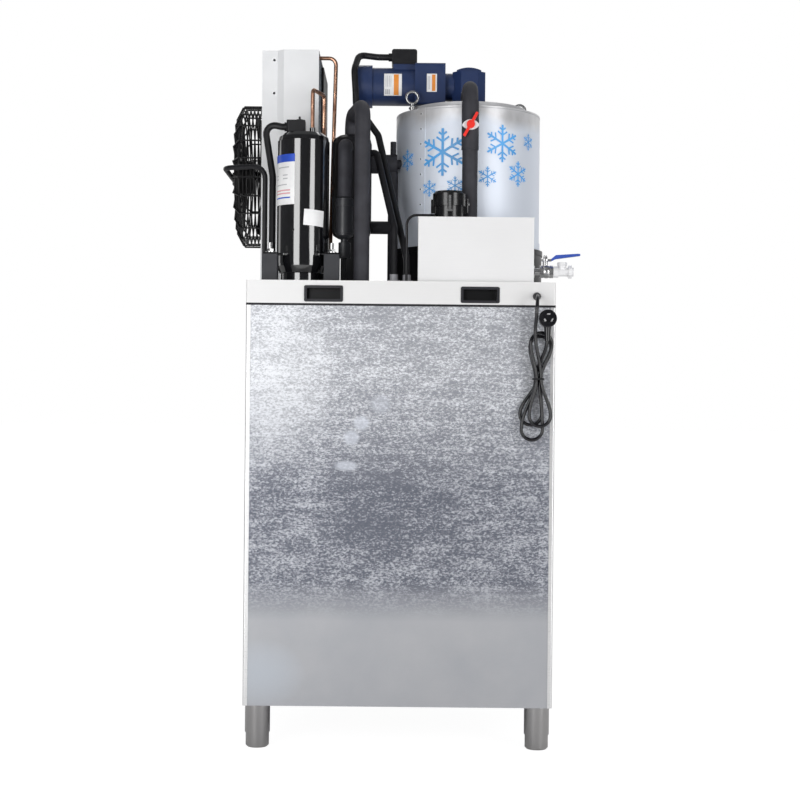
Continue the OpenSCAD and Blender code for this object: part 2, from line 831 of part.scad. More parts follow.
module gear_head() {
  color("midnightblue") difference() {
    translate([head_x, drum_y, motor_z]) rotate([0, 90, 0]) linear_extrude(head_l)
      round_rect(head_w, head_w, 9);
    translate([head_x + head_l - 12, drum_y, motor_z]) for (y = [-1, 1], z = [-1, 1])
      translate([0, y * (head_w / 2 - 12), z * (head_w / 2 - 12)]) rotate([0, 90, 0]) cylinder(h = 13, r = 4);
  }
}

module motor_barrel() {
  color("midnightblue") {
    translate([barrel_x, drum_y, motor_z]) rotate([0, 90, 0]) cylinder(h = barrel_l, d = barrel_d);
    block([term_x + 4, drum_y - 26, motor_z + 30], [head_x, drum_y + 26, term_z]);
  }
}

// Fan cover with its rounded rear edge and air slots
module motor_fan_cover() {
  cover_r = barrel_d / 2 + 6;
  color("midnightblue") translate([barrel_x, drum_y, motor_z]) rotate([0, -90, 0]) difference() {
    rotate_extrude()
      polygon([[0, 0], [cover_r, 0], [cover_r, cover_l - 8], [cover_r - 8, cover_l], [0, cover_l]]);
    for (r = [12:8:36]) translate([0, 0, cover_l - 3]) difference() {
      cylinder(h = 4, r = r + 4);
      cylinder(h = 4, r = r);
    }
  }
}

module motor_terminal_box() {
  color("black") translate([term_x, drum_y - 30, term_z]) {
    translate([term_w / 2, 60, term_h / 2]) rotate([90, 0, 0]) linear_extrude(60) round_rect(term_w, term_h, 6);
    translate([1, 30, term_h * 0.6]) rotate([0, -90, 0]) cylinder(h = 9, r = 10);
  }
}

// Water circuit

module water_tank() {
  wall = 1.5;
  port_r = 8 + seat_gap;
  color("gainsboro") difference() {
    block([tank_x, tank_y, deck_z], [tank_right, tank_y + tank_d, tank_top - 2]);
    block([tank_x + wall, tank_y + wall, deck_z + wall], [tank_right - wall, tank_y + tank_d - wall, tank_top]);
    translate([tank_right - 10, inlet_y, inlet_z]) rotate([0, 90, 0]) cylinder(h = 20, r = port_r);
  }
}

suction_r = 22;

module tank_cover() {
  color("gainsboro") difference() {
    block([tank_x - 1, tank_y - 1, tank_top - 2], [tank_right + 1, tank_y + tank_d + 1, tank_top]);
    translate([pump_x, pump_y, tank_top - 5]) cylinder(h = 10, r = suction_r + seat_gap);
  }
}

// Pump with its suction foot in the tank, its cap and the three clips of the cap
module circulating_pump() {
  body_r = pump_d / 2 - 5;
  cap_r = pump_d / 2;
  cap_z = pump_h * 0.45;
  color("black") translate([pump_x, pump_y, tank_top]) {
    translate([0, 0, -90]) cylinder(h = 91, r = suction_r);
    cylinder(h = cap_z + 2, r = body_r);
    translate([0, 0, cap_z]) rotate_extrude()
      polygon([[0, 0], [cap_r, 0], [cap_r, pump_h - cap_z - 6], [cap_r - 5, pump_h - cap_z], [0, pump_h - cap_z]]);
    for (a = [180, 270, 0]) rotate(a) block([body_r - 3, -5, cap_z - 16], [cap_r + 4, 5, cap_z + 16]);
  }
}

float_pin_x = tank_right - 19;
float_pin_z = inlet_z + 14;
float_pin_r = 2.5;

// Float on its arm, swinging on the pin of the inlet inside the tank
module float_arm() {
  arm_r = 3;
  float_r = 18;
  color("darkorange") translate([float_pin_x, inlet_y, float_pin_z]) difference() {
    union() {
      rotate([0, -90, 0]) rotate_extrude() polygon([
        [0, 0], [arm_r, 0], [arm_r, 68], [float_r - 7, 69], [float_r, 77], [float_r, 93], [float_r - 7, 101], [0, 103],
      ]);
      translate([0, 4, 0]) rotate([90, 0, 0]) cylinder(h = 8, r = 6);
    }
    translate([0, 6, 0]) rotate([90, 0, 0]) cylinder(h = 12, r = float_pin_r + run_gap);
  }
}

hose_r = hose_d / 2;
hose_top = lid_top + hose_r + 1.5;
hose_end = drum_y - 76;
flow_w = 39;
flow_h = 24;
flow_lens_r = (flow_w * flow_w + flow_h * flow_h) / (4 * flow_h);
flow_front = hose_y - hose_r - 5;
flow_stem_r = 3;

// Eye-shaped block of the flow valve, grown by g, seen along the depth
module flow_lens(y0, y1, g) {
  translate([hose_x, y1, flow_z]) rotate([90, 0, 0]) intersection() {
    translate([0, flow_lens_r - flow_h / 2, 0]) cylinder(h = y1 - y0, r = flow_lens_r + g);
    translate([0, flow_h / 2 - flow_lens_r, 0]) cylinder(h = y1 - y0, r = flow_lens_r + g);
  }
}

// Lagged hose from the tank over the drum, with its thicker upper sleeve cut out for the valve
module water_hose() {
  sleeve_z = flow_z - 55;
  color("dimgray") difference() {
    union() {
      pipe([[hose_x, hose_y, tank_top], [hose_x, hose_y, hose_top], [hose_x, hose_end, hose_top]], hose_r, hose_d);
      translate([hose_x, hose_y, sleeve_z]) cylinder(h = hose_top - hose_d - sleeve_z, r = hose_r + 2);
    }
    flow_lens(hose_y - hose_d, hose_y + 10, seat_gap);
  }
}

module flow_valve_body() {
  color("white") difference() {
    flow_lens(flow_front, hose_y + 10, 0);
    translate([hose_x, flow_front + 20, flow_z]) rotate([90, 0, 0]) cylinder(h = 30, r = flow_stem_r + run_gap);
  }
}

// Red butterfly handle on its stem
module flow_valve_handle() {
  hub_r = 9.5;
  color("red") translate([hose_x, flow_front - run_gap, flow_z]) rotate([90, 0, 0]) {
    cylinder(h = 7, r = hub_r);
    rotate(-flow_turn) translate([0, 0, 1]) linear_extrude(5) round_rect(6.7, 63, 2);
    translate([0, 0, -18]) cylinder(h = 19, r = flow_stem_r);
  }
}

valve_x = tank_right + 17;
valve_l = 31;
stem_x = valve_x + 13;
stem_top = inlet_z + 38;

// Inlet pipe, ball valve body and the float's pivot inside the tank
module inlet_valve() {
  color("silver") {
    translate([float_pin_x + 4, inlet_y, inlet_z]) rotate([0, 90, 0]) cylinder(h = valve_x - float_pin_x - 3, r = 8);
    for (y = [-9, 5]) block([float_pin_x - 5, inlet_y + y, inlet_z - 9], [float_pin_x + 9, inlet_y + y + 4, float_pin_z + 6]);
    block([float_pin_x - 2, inlet_y - 6, inlet_z - 9], [float_pin_x + 9, inlet_y + 6, inlet_z + 5]);
    translate([float_pin_x, inlet_y + 6, float_pin_z]) rotate([90, 0, 0]) cylinder(h = 12, r = float_pin_r);
    translate([tank_right, inlet_y, inlet_z]) rotate([0, 90, 0]) hex(24, 6);
    translate([valve_x, inlet_y, inlet_z]) rotate([0, 90, 0]) hex(25, 8);
    translate([valve_x + valve_l / 2, inlet_y, inlet_z]) sphere(15);
    translate([valve_x + valve_l - 8, inlet_y, inlet_z]) rotate([0, 90, 0]) hex(25, 8);
    translate([stem_x, inlet_y, inlet_z]) cylinder(h = 24, r = 6);
    translate([stem_x, inlet_y, inlet_z]) cylinder(h = stem_top - inlet_z, r = 3.5);
  }
}

// Lever of the ball valve, rising to its tapered grip
module inlet_lever() {
  lever_l = 80;
  lever_t = 4;
  lever_z = inlet_z + 24 + run_gap;
  grip_w = 13;
  color("royalblue") translate([stem_x, inlet_y, lever_z]) difference() {
    union() {
      cylinder(h = lever_t, r = 9);
      translate([0, grip_w / 2, 0]) rotate([90, 0, 0]) linear_extrude(grip_w) polygon([
        [0, 0], [14, 0], [24, 5], [lever_l, 13], [lever_l, 17], [lever_l - 6, 17.5], [24, 14], [12, lever_t], [0, lever_t],
      ]);
    }
    translate([0, 0, -1]) cylinder(h = lever_t + 2, r = 3.5 + run_gap);
  }
}

fitting_x = valve_x + valve_l;
fitting_l = 47;

// Tee fitting with its capped branch and the open end for the supply hose
module inlet_fitting() {
  color("ghostwhite") difference() {
    union() {
      translate([fitting_x, inlet_y, inlet_z]) rotate([0, 90, 0]) cylinder(h = fitting_l, r = 10);
      translate([fitting_x, inlet_y, inlet_z]) rotate([0, 90, 0]) cylinder(h = 12, r = 13);
      translate([fitting_x + fitting_l - 12, inlet_y, inlet_z]) rotate([0, 90, 0]) hex(26, 8);
      translate([fitting_x + 21, inlet_y, inlet_z]) cylinder(h = 16, r = 9);
      translate([fitting_x + 21, inlet_y, inlet_z + 14]) hex(20, 8);
    }
    translate([fitting_x + 22, inlet_y, inlet_z]) rotate([0, 90, 0]) cylinder(h = fitting_l, r = 7);
  }
}

// Compressor

// Welded shell with its domed ends and seams, three lugs, the discharge stub and two side plugs
module compressor() {
  shell_z = deck_z + comp_foot;
  shell_h = comp_h - comp_foot;
  lug_z = deck_z + post_h;
  color("black") translate([comp_x, comp_y, 0]) {
    translate([0, 0, shell_z]) rotate_extrude() polygon([
      [0, 0], [comp_r - 22, 0], [comp_r - 6, 8], [comp_r - 1, 24], [comp_r - 1, 30], [comp_r, 30],
      [comp_r, shell_h - 22], [comp_r - 1.5, shell_h - 22], [comp_r - 3, shell_h - 12],
      [comp_r - 14, shell_h - 3], [comp_r - 30, shell_h], [0, shell_h],
    ]);
    translate([0, 0, deck_z]) cylinder(h = comp_foot + 7, r = comp_r - 9);
    for (p = post_spots) difference() {
      union() {
        translate([p[0], p[1], lug_z]) translate([-16, -16, 0]) cube([32, 32, 4]);
        rotate(atan2(p[1], p[0])) block([comp_r - 6, -12, lug_z], [norm(p), 12, lug_z + 4]);
      }
      translate([p[0], p[1], lug_z - 1]) cylinder(h = 6, r = 4 + seat_gap);
    }
    translate([20, 0, comp_top - 2]) cylinder(h = 14, r = 6.5);
    for (a = [250, 282]) rotate(a) translate([comp_r - 2, 0, deck_z + 120]) rotate([0, 90, 0]) cylinder(h = 5, r = 4);
  }
}

// Rubber posts with their studs and nuts
module compressor_posts() {
  color("dimgray") for (p = post_spots) translate([comp_x + p[0], comp_y + p[1], deck_z]) {
    linear_extrude(post_h) round_rect(post_w, post_w, 3);
    cylinder(h = post_h + 26, r = 4);
    translate([0, 0, post_h + 4]) hex(13, 7);
  }
}

cap_w = 43;
cap_left = comp_x - 39;
cap_z = comp_top + 27;
cap_out_z = comp_top + 14;

// Cover over the compressor's terminals, with its stud and the cable outlet
module terminal_cover() {
  color("black") {
    translate([cap_left + cap_w / 2, comp_y, comp_top]) linear_extrude(cap_z - comp_top) round_rect(cap_w, 46, 5);
    translate([cap_left + cap_w - 14, comp_y, cap_z - 1]) cylinder(h = 5, r = 8);
    translate([cap_left + cap_w - 14, comp_y, cap_z]) cylinder(h = 11, r = 2.5);
    translate([cap_left, comp_y, cap_out_z]) rotate([0, -90, 0]) cylinder(h = 6, r = 10.5);
  }
}

// Condenser

// Plan of the shroud and its end sheets, moved in by g on its long sides
function shroud_plan(g, right) = [
  [shroud_x + g, shroud_y + g], [step_x, shroud_y + g], [coil_x, coil_y + g], [right, coil_y + g],
  [right, coil_far - g], [coil_x, coil_far - g], [step_x, shroud_far - g], [shroud_x + g, shroud_far - g],
];

// Folded sheet round the fan's plenum and over the ends of the coil
module condenser_shroud() {
  orifice_r = fan_r + 7;
  color("white") difference() {
    translate([0, 0, deck_z]) linear_extrude(shroud_h) polygon(shroud_plan(0, coil_right));
    translate([0, 0, deck_z + shroud_t]) linear_extrude(shroud_h - 2 * shroud_t)
      polygon(shroud_plan(shroud_t, coil_right + 9));
    translate([shroud_x - 9, fan_y, fan_z]) rotate([0, 90, 0]) cylinder(h = 20, r = orifice_r);
    for (share = [0.82, 0.96]) translate([step_x - 8, shroud_y - 9, deck_z + share * shroud_h])
      rotate([-90, 0, 0]) cylinder(h = 20, r = 3);
  }
}

fin_pitch = 9;
fin_t = 2.5;

// Finned block of the coil with its return bends at the far end
module condenser_coil() {
  low = deck_z + shroud_t;
  high = deck_z + shroud_h - shroud_t - seat_gap;
  near = coil_y + shroud_t + seat_gap;
  far = coil_far - shroud_t - seat_gap;
  fins = floor((far - near - fin_t) / fin_pitch);
  color("silver") {
    block([coil_x + 4, near, low + 4], [coil_right - 6, far, high - 4]);
    for (i = [0:fins]) block([coil_x, near + i * fin_pitch, low], [coil_right - 2, near + i * fin_pitch + fin_t, high]);
  }
}

// Fan guard: hoops inside, bent ribs outside, and the plate that carries the motor
module fan_guard() {
  ribs = 24;
  plate_r = 50;
  knee_x = guard_x + 16;
  inside = 2 * guard_wire + 0.1;
  hoops = [
    [shroud_x - guard_wire, guard_r], [shroud_x - 18, guard_r], [shroud_x - 36, guard_r], [knee_x + 2, guard_r],
  ];
  face_rs = [for (r = [guard_face_r - 3 : -15 : plate_r + 8]) r];
  color("black") translate([0, fan_y, fan_z]) rotate([0, 90, 0]) {
    for (h = hoops) translate([0, 0, h[0]]) rotate_extrude() translate([h[1] - inside, 0]) circle(guard_wire);
    for (r = face_rs) translate([0, 0, guard_x + inside]) rotate_extrude() translate([r, 0]) circle(guard_wire);
    for (i = [0:ribs - 1]) rotate((i + 0.5) * 360 / ribs) {
      rod([guard_r, 0, shroud_x], [guard_r, 0, knee_x - 1], guard_wire);
      rod([guard_r + 0.4, 0, knee_x], [guard_face_r - 1, 0, guard_x + 0.2], guard_wire);
      rod([guard_face_r, 0, guard_x], [plate_r - 6, 0, guard_x], guard_wire);
    }
    translate([0, 0, guard_plate_x]) cylinder(h = guard_plate_t, r = plate_r);
  }
}

fan_motor_l = 38;
fan_motor_x = guard_plate_x + guard_plate_t;
fan_shaft_r = 5;
fan_x = shroud_x;
fan_hub_l = 30;

// Motor of the condenser fan on the guard's plate, with its shaft and the cable outlet
module fan_motor() {
  outlet = 12.4;
  color("black") translate([0, fan_y, fan_z]) rotate([0, 90, 0]) {
    translate([0, 0, fan_motor_x]) cylinder(h = fan_motor_l, r = 42);
    translate([0, 0, fan_motor_x]) cylinder(h = fan_x + fan_hub_l / 2 - fan_motor_x, r = fan_shaft_r);
  }
  color("black")
    block([guard_plate_x - outlet, fan_y - 14, fan_z - 20], [guard_plate_x, fan_y + 14, fan_z + 10]);
}

// Five pitched blades on a hub
module fan_blades() {
  pitch = 30;
  hub_r = 34;
  color("dimgray") translate([fan_x, fan_y, fan_z]) rotate([0, 90, 0]) difference() {
    union() {
      translate([0, 0, -fan_hub_l / 2]) cylinder(h = fan_hub_l, r = hub_r);
      intersection() {
        translate([0, 0, -30]) cylinder(h = 60, r = fan_r);
        for (i = [0:4]) rotate(i * 72) rotate([pitch, 0, 0]) translate([0, 0, -1.2]) linear_extrude(2.4)
          polygon([[hub_r - 6, -18], [fan_r - 12, -46], [fan_r + 20, -30], [fan_r + 20, 34], [hub_r - 6, 20]]);
      }
    }
    translate([0, 0, -fan_hub_l]) cylinder(h = 2 * fan_hub_l, r = fan_shaft_r + run_gap);
  }
}

// Accumulator, drier and pipes

probe_z = acc_z + 200;
probe_turn = -40;
probe_out = acc_r + 10;
probe_way = [cos(probe_turn), sin(probe_turn), 0];

// Accumulator with its domed ends, stand and probe boss
module accumulator() {
  color("black") {
    translate([acc_x, acc_y, acc_z]) rotate_extrude() polygon([
      [0, 0], [acc_r - 16, 0], [acc_r - 3, 8], [acc_r, 20], [acc_r, acc_h - 20],
      [acc_r - 3, acc_h - 8], [acc_r - 16, acc_h], [0, acc_h],
    ]);
    translate([acc_x, acc_y, deck_z]) linear_extrude(acc_rise + 4) round_rect(50, 50, 4);
    translate([acc_x, acc_y, deck_z]) linear_extrude(5) round_rect(70, 70, 6);
    rod([acc_x, acc_y, probe_z] + probe_way * 40, [acc_x, acc_y, probe_z] + probe_way * probe_out, 9);
  }
}

drier_x = acc_x - 13;
drier_y = back_y + comp_back;
drier_z = deck_z + 108;
drier_top = drier_z + 94;

// Drier with its two bands and the valve below it
module filter_drier() {
  r = drier_d / 2;
  color("black") translate([drier_x, drier_y, deck_z]) rotate_extrude() polygon([
    [0, 0], [5, 0], [5, 60], [14, 60], [14, 96], [8, 98], [8, 104], [r - 6, 108], [r, 112],
    [r, 118], [r + 1.5, 118], [r + 1.5, 128], [r, 128], [r, 180], [r + 1.5, 180], [r + 1.5, 190], [r, 190],
    [r, 198], [r - 6, 202], [0, 202],
  ]);
}

copper_r = 4.75;

module copper_pipes() {
  loop_x = comp_x + 20;
  loop_z = comp_top + 102;
  back_x = comp_x + 43;
  down_y = comp_y + 76;
  in_y = coil_y + 40;
  in_z = deck_z + 240;
  out_y = coil_y + 30;
  out_z = deck_z + shroud_h - 14;
  drop_x = acc_x - 42;
  color("peru") {
    bent_tube([[loop_x, comp_y, comp_top + 12], [loop_x, comp_y, loop_z], [back_x, down_y, loop_z],
          [back_x, down_y, in_z], [back_x, in_y, in_z], [coil_right - 2, in_y, in_z]], copper_r, 10);
    bent_tube([[coil_right - 2, out_y, out_z], [drop_x, out_y, out_z], [drop_x - 12, out_y, deck_z + seat_gap]], copper_r, 16);
  }
}

bend_x = acc_x + 28;
bend_y = back_y + 70;

// Lagged suction bend, and the lagged lines between accumulator, drier and drum
module lagged_pipes() {
  main_z = acc_top - 59;
  main_y = acc_y + 44;
  low_z = acc_z + 33;
  tee_x = (acc_x + acc_r + drum_x - jacket_r) / 2 + 22;
  drier_bend_z = acc_top - 36;
  bend_top = acc_top + 47;
  span = norm([bend_x - acc_x, bend_y - acc_y]);
  color("dimgray") {
    translate([acc_x, acc_y, 0]) rotate(atan2(bend_y - acc_y, bend_x - acc_x))
      pipe([[0, 0, acc_top], [0, 0, bend_top], [span, 0, bend_top], [span, 0, deck_z]], bend_d / 2, 30);
    difference() {
      union() {
        rod([acc_x, main_y, main_z], [drum_x - jacket_r + 3, main_y, main_z], 23);
        rod([tee_x, main_y, main_z], [drum_x - 60, main_y, main_z], 11);
        rod([tee_x, main_y, deck_z], [tee_x, main_y, main_z], 12);
        rod([tee_x, main_y, main_z], [tee_x, main_y, main_z + 54], 7);
        rod([acc_x, main_y, low_z], [tee_x, main_y, low_z], 15.5);
      }
      translate([acc_x, acc_y, acc_z]) cylinder(h = acc_h, r = acc_r + seat_gap);
      translate([drum_x, drum_y, deck_z]) cylinder(h = base_h + jacket_h, r = jacket_r + seat_gap);
      translate([drum_x, drum_y, deck_z - 1]) cylinder(h = base_h + 22, r = flange_r + seat_gap);
    }
    difference() {
      pipe([[drier_x, drier_y, drier_top], [drier_x, drier_y, drier_bend_z], [drier_x, acc_y, drier_bend_z]], 17, 24);
      translate([acc_x, acc_y, acc_z]) cylinder(h = acc_h, r = acc_r + seat_gap);
    }
  }
}

conduit_r = 8;
gland_h = 22;
gland_y = back_y + 95;
motor_gland_y = gland_y + 10;
motor_gland_x = tank_x - 25;
probe_gland_x = motor_gland_x - 30;

// Flexible conduits of the compressor, fan, motor and probe, and the pump's cable
module cable_conduits() {
  comp_run_x = comp_x - comp_r - 12;
  fan_run_x = comp_run_x - 18;
  fan_cable_r = 6;
  guard_side_x = guard_plate_x - fan_cable_r - 0.4;
  outlet_z = term_z + term_h * 0.6;
  fan_cable_z = fan_z - 12;
  elbow_z = deck_z + 130;
  motor_elbow_z = deck_z + 58;
  pump_cable_x = tank_x - 26;
  pump_cable_z = tank_top + 8;
  probe_foot = [acc_x, acc_y, probe_z];
  color("black") {
    bent_tube([[cap_left - 6, comp_y, cap_out_z], [cap_left - 13, comp_y, cap_out_z],
               [comp_run_x - 20, comp_y + 4, comp_top + 24], [comp_run_x, comp_y + 12, comp_top - 100],
               [comp_run_x, comp_y + 12, deck_z]], conduit_r, 20);
    bent_tube([[fan_run_x, comp_y + 15, deck_z], [fan_run_x, comp_y + 15, fan_cable_z],
               [guard_side_x, comp_y + 55, fan_cable_z], [guard_side_x, fan_y - 14, fan_cable_z]], fan_cable_r, 30);
    bent_tube([[term_x - 8, drum_y, outlet_z], [term_x - 34, drum_y, outlet_z],
               [acc_x + 12, drum_y - 24, outlet_z], [acc_x + 2, acc_y + 36, outlet_z - 44],
               [acc_x + 8, acc_y + 30, acc_top + 81], [acc_x + acc_r + 15, acc_y - 8, acc_top + 2],
               [motor_gland_x, motor_gland_y, motor_elbow_z], [motor_gland_x, motor_gland_y, deck_z + gland_h]],
              conduit_r, 28);
    bent_tube([probe_foot + probe_way * (probe_out + seat_gap), probe_foot + probe_way * (probe_out + 20),
               [probe_gland_x, gland_y, elbow_z], [probe_gland_x, gland_y, deck_z + gland_h]], conduit_r, 14);
    bent_tube([[pump_x - pump_d / 2 + 5, pump_y, pump_cable_z], [pump_cable_x, pump_y, pump_cable_z],
               [pump_cable_x, pump_y, deck_z]], 3, 22);
  }
}

module cable_glands() {
  spots = [[motor_gland_x, motor_gland_y], [probe_gland_x, gland_y]];
  color("gray") for (p = spots) translate([p[0], p[1], deck_z]) {
    hex(24, 9);
    cylinder(h = gland_h, r = 9.5);
  }
}

left_side_panel();
right_side_panel();
back_panel();
bottom_panel();
front_panel();
bin_liner();
foam_insulation();
bin_door();
door_seal();
door_handle();
door_hinges();
leg_tubes();
foot_rear_left();
foot_rear_right();
foot_front_left();
foot_front_right();
tray_gasket();
base_tray();
flush_pulls();
cord_grommet();
power_cord();
cord_hank();
cord_tie();
power_plug();
drum_base();
freezing_cylinder();
drum_jacket();
drum_lid();
eye_bolts();
scraper_shaft();
scraper_blades();
gearbox();
gear_head();
motor_barrel();
motor_fan_cover();
motor_terminal_box();
cable_conduits();
cable_glands();
water_tank();
tank_cover();
circulating_pump();
float_arm();
water_hose();
flow_valve_body();
flow_valve_handle();
inlet_valve();
inlet_lever();
inlet_fitting();
compressor();
compressor_posts();
terminal_cover();
copper_pipes();
condenser_coil();
condenser_shroud();
fan_guard();
fan_motor();
fan_blades();
accumulator();
filter_drier();
lagged_pipes();
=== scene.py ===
"""Looks of the flake ice machine: camera, light, materials, the power cord and the small trim on its parts."""

import json
import math

import bmesh
import bpy
from mathutils import Matrix, Vector


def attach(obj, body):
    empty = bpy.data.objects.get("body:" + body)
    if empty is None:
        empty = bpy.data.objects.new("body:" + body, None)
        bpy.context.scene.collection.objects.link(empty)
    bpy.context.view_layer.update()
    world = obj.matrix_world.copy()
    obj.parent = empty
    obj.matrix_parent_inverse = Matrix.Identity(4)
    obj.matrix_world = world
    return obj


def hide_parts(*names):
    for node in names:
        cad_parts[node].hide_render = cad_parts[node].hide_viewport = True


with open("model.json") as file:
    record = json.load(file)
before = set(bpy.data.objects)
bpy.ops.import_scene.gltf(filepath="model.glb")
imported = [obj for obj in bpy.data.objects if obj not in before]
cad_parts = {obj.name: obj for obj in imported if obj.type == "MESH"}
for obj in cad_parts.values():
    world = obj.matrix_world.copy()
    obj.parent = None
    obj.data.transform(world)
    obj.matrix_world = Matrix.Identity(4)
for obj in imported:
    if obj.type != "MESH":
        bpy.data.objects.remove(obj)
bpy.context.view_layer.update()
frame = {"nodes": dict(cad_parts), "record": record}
NODES = frame["nodes"]

# Places that the solids share, in metres
BACK_Y = -0.3142
DECK_Z = 1.060
DRUM_AXIS = (0.161, BACK_Y + 0.312)
JACKET_R = 0.176
COMP_AXIS = (-0.230, BACK_Y + 0.110)
COMP_R = 0.0605
MOTOR_Z = 1.561
BARREL_R = 0.046
HEAD_HALF = 0.051
PUMP_AXIS = (0.109, BACK_Y + 0.059)
TANK_TOP = 1.208
LEVER = (0.331, BACK_Y + 0.064, 1.1134)
PLUG = (0.328, -0.366, 0.976)
FAN_AXIS = (BACK_Y + 0.404, 1.348)


def link(name, data):
    """New object with that data, in the scene."""
    obj = bpy.data.objects.new(name, data)
    bpy.context.scene.collection.objects.link(obj)
    return obj


# Camera and light


def make_camera():
    data = bpy.data.cameras.new("photo_camera")
    data.sensor_width = 36
    data.lens = 69.7
    data.clip_end = 50
    camera = link("photo_camera", data)
    level = Matrix.Rotation(math.radians(90), 4, "X")
    roll = Matrix.Rotation(math.radians(0.55), 4, "Z")
    camera.matrix_world = Matrix.Translation((0, BACK_Y - 3.5, 0.791)) @ level @ roll
    bpy.context.scene.camera = camera


def softbox(name, place, target, size, power):
    data = bpy.data.lights.new(name, "AREA")
    data.shape = "RECTANGLE"
    data.size, data.size_y = size
    data.energy = power
    lamp = link(name, data)
    lamp.location = place
    lamp.rotation_euler = (Vector(target) - Vector(place)).to_track_quat("-Z", "Y").to_euler()


def make_world(light, background):
    """A plain pale room: its background shows to the camera and in reflections, its light falls on the rest."""
    world = bpy.data.worlds.new("studio")
    world.use_nodes = True
    bpy.context.scene.world = world
    tree = world.node_tree
    tree.nodes.clear()
    path = tree.nodes.new("ShaderNodeLightPath")
    seen = tree.nodes.new("ShaderNodeMath")
    seen.operation = "MAXIMUM"
    mirrored = tree.nodes.new("ShaderNodeMath")
    mirrored.operation = "MAXIMUM"
    mix = tree.nodes.new("ShaderNodeMixShader")
    dim = tree.nodes.new("ShaderNodeBackground")
    bright = tree.nodes.new("ShaderNodeBackground")
    out = tree.nodes.new("ShaderNodeOutputWorld")
    dim.inputs["Strength"].default_value = light
    dim.inputs["Color"].default_value = (1, 1, 1, 1)
    bright.inputs["Strength"].default_value = background
    bright.inputs["Color"].default_value = (1, 1, 1, 1)
    tree.links.new(path.outputs["Is Glossy Ray"], mirrored.inputs[0])
    tree.links.new(path.outputs["Is Transmission Ray"], mirrored.inputs[1])
    tree.links.new(path.outputs["Is Camera Ray"], seen.inputs[0])
    tree.links.new(mirrored.outputs[0], seen.inputs[1])
    tree.links.new(seen.outputs[0], mix.inputs[0])
    tree.links.new(dim.outputs[0], mix.inputs[1])
    tree.links.new(bright.outputs[0], mix.inputs[2])
    tree.links.new(mix.outputs[0], out.inputs[0])


def make_floor():
    """A pale floor that runs out of sight and keeps the object's shadow."""
    mesh = bpy.data.meshes.new("floor")
    reach = 40
    corners = [(-reach, -reach, 0), (reach, -reach, 0), (reach, reach, 0), (-reach, reach, 0)]
    mesh.from_pydata(corners, [], [(0, 1, 2, 3)])
    floor = link("floor", mesh)
    mat = bpy.data.materials.new("pale_floor")
    mat.use_nodes = True
    tree = mat.node_tree
    tree.nodes.clear()
    path = tree.nodes.new("ShaderNodeLightPath")
    share = tree.nodes.new("ShaderNodeMath")
    share.operation = "MULTIPLY"
    share.inputs[1].default_value = 0.82
    diffuse = tree.nodes.new("ShaderNodeBsdfDiffuse")
    diffuse.inputs["Color"].default_value = (0.9, 0.9, 0.9, 1)
    glow = tree.nodes.new("ShaderNodeEmission")
    glow.inputs["Strength"].default_value = 1.16
    mix = tree.nodes.new("ShaderNodeMixShader")
    out = tree.nodes.new("ShaderNodeOutputMaterial")
    tree.links.new(path.outputs["Is Camera Ray"], share.inputs[0])
    tree.links.new(share.outputs[0], mix.inputs[0])
    tree.links.new(diffuse.outputs[0], mix.inputs[1])
    tree.links.new(glow.outputs[0], mix.inputs[2])
    tree.links.new(mix.outputs[0], out.inputs[0])
    mesh.materials.append(mat)


def make_wall():
    """A plain dark wall round the camera's side, with its ceiling, that only reflections show."""
    mesh = bpy.data.meshes.new("wall")
    radius, height = 6, 3.4
    turns = [math.radians(a) for a in range(-112, 113, 8)]
    verts = [(radius * math.sin(a), -radius * math.cos(a), z) for a in turns for z in (0, height)]
    faces = [(2 * i, 2 * i + 2, 2 * i + 3, 2 * i + 1) for i in range(len(turns) - 1)]
    faces.append(tuple(2 * i + 1 for i in range(len(turns))))
    mesh.from_pydata(verts, [], faces)
    wall = link("wall", mesh)
    mat = bpy.data.materials.new("grey_wall")
    mat.use_nodes = True
    shade = mat.node_tree.nodes["Principled BSDF"]
    shade.inputs["Base Color"].default_value = (0.24, 0.245, 0.255, 1)
    shade.inputs["Roughness"].default_value = 0.9
    mesh.materials.append(mat)
    wall.visible_camera = False
    wall.visible_diffuse = False
    wall.visible_shadow = False


make_camera()
make_world(light=0.35, background=1.0)
make_floor()
make_wall()
softbox("left_softbox", (-1.6, -3.3, 1.0), (0, 0, 0.9), (1.5, 2.4), 58)
softbox("right_softbox", (2.2, -2.7, 1.0), (0, 0, 0.9), (1.15, 2.4), 44)
softbox("top_softbox", (0.3, 1.0, 3.6), (0, 0, 1.0), (2.4, 2.0), 26)
bpy.context.scene.view_settings.view_transform = "Standard"


# Materials


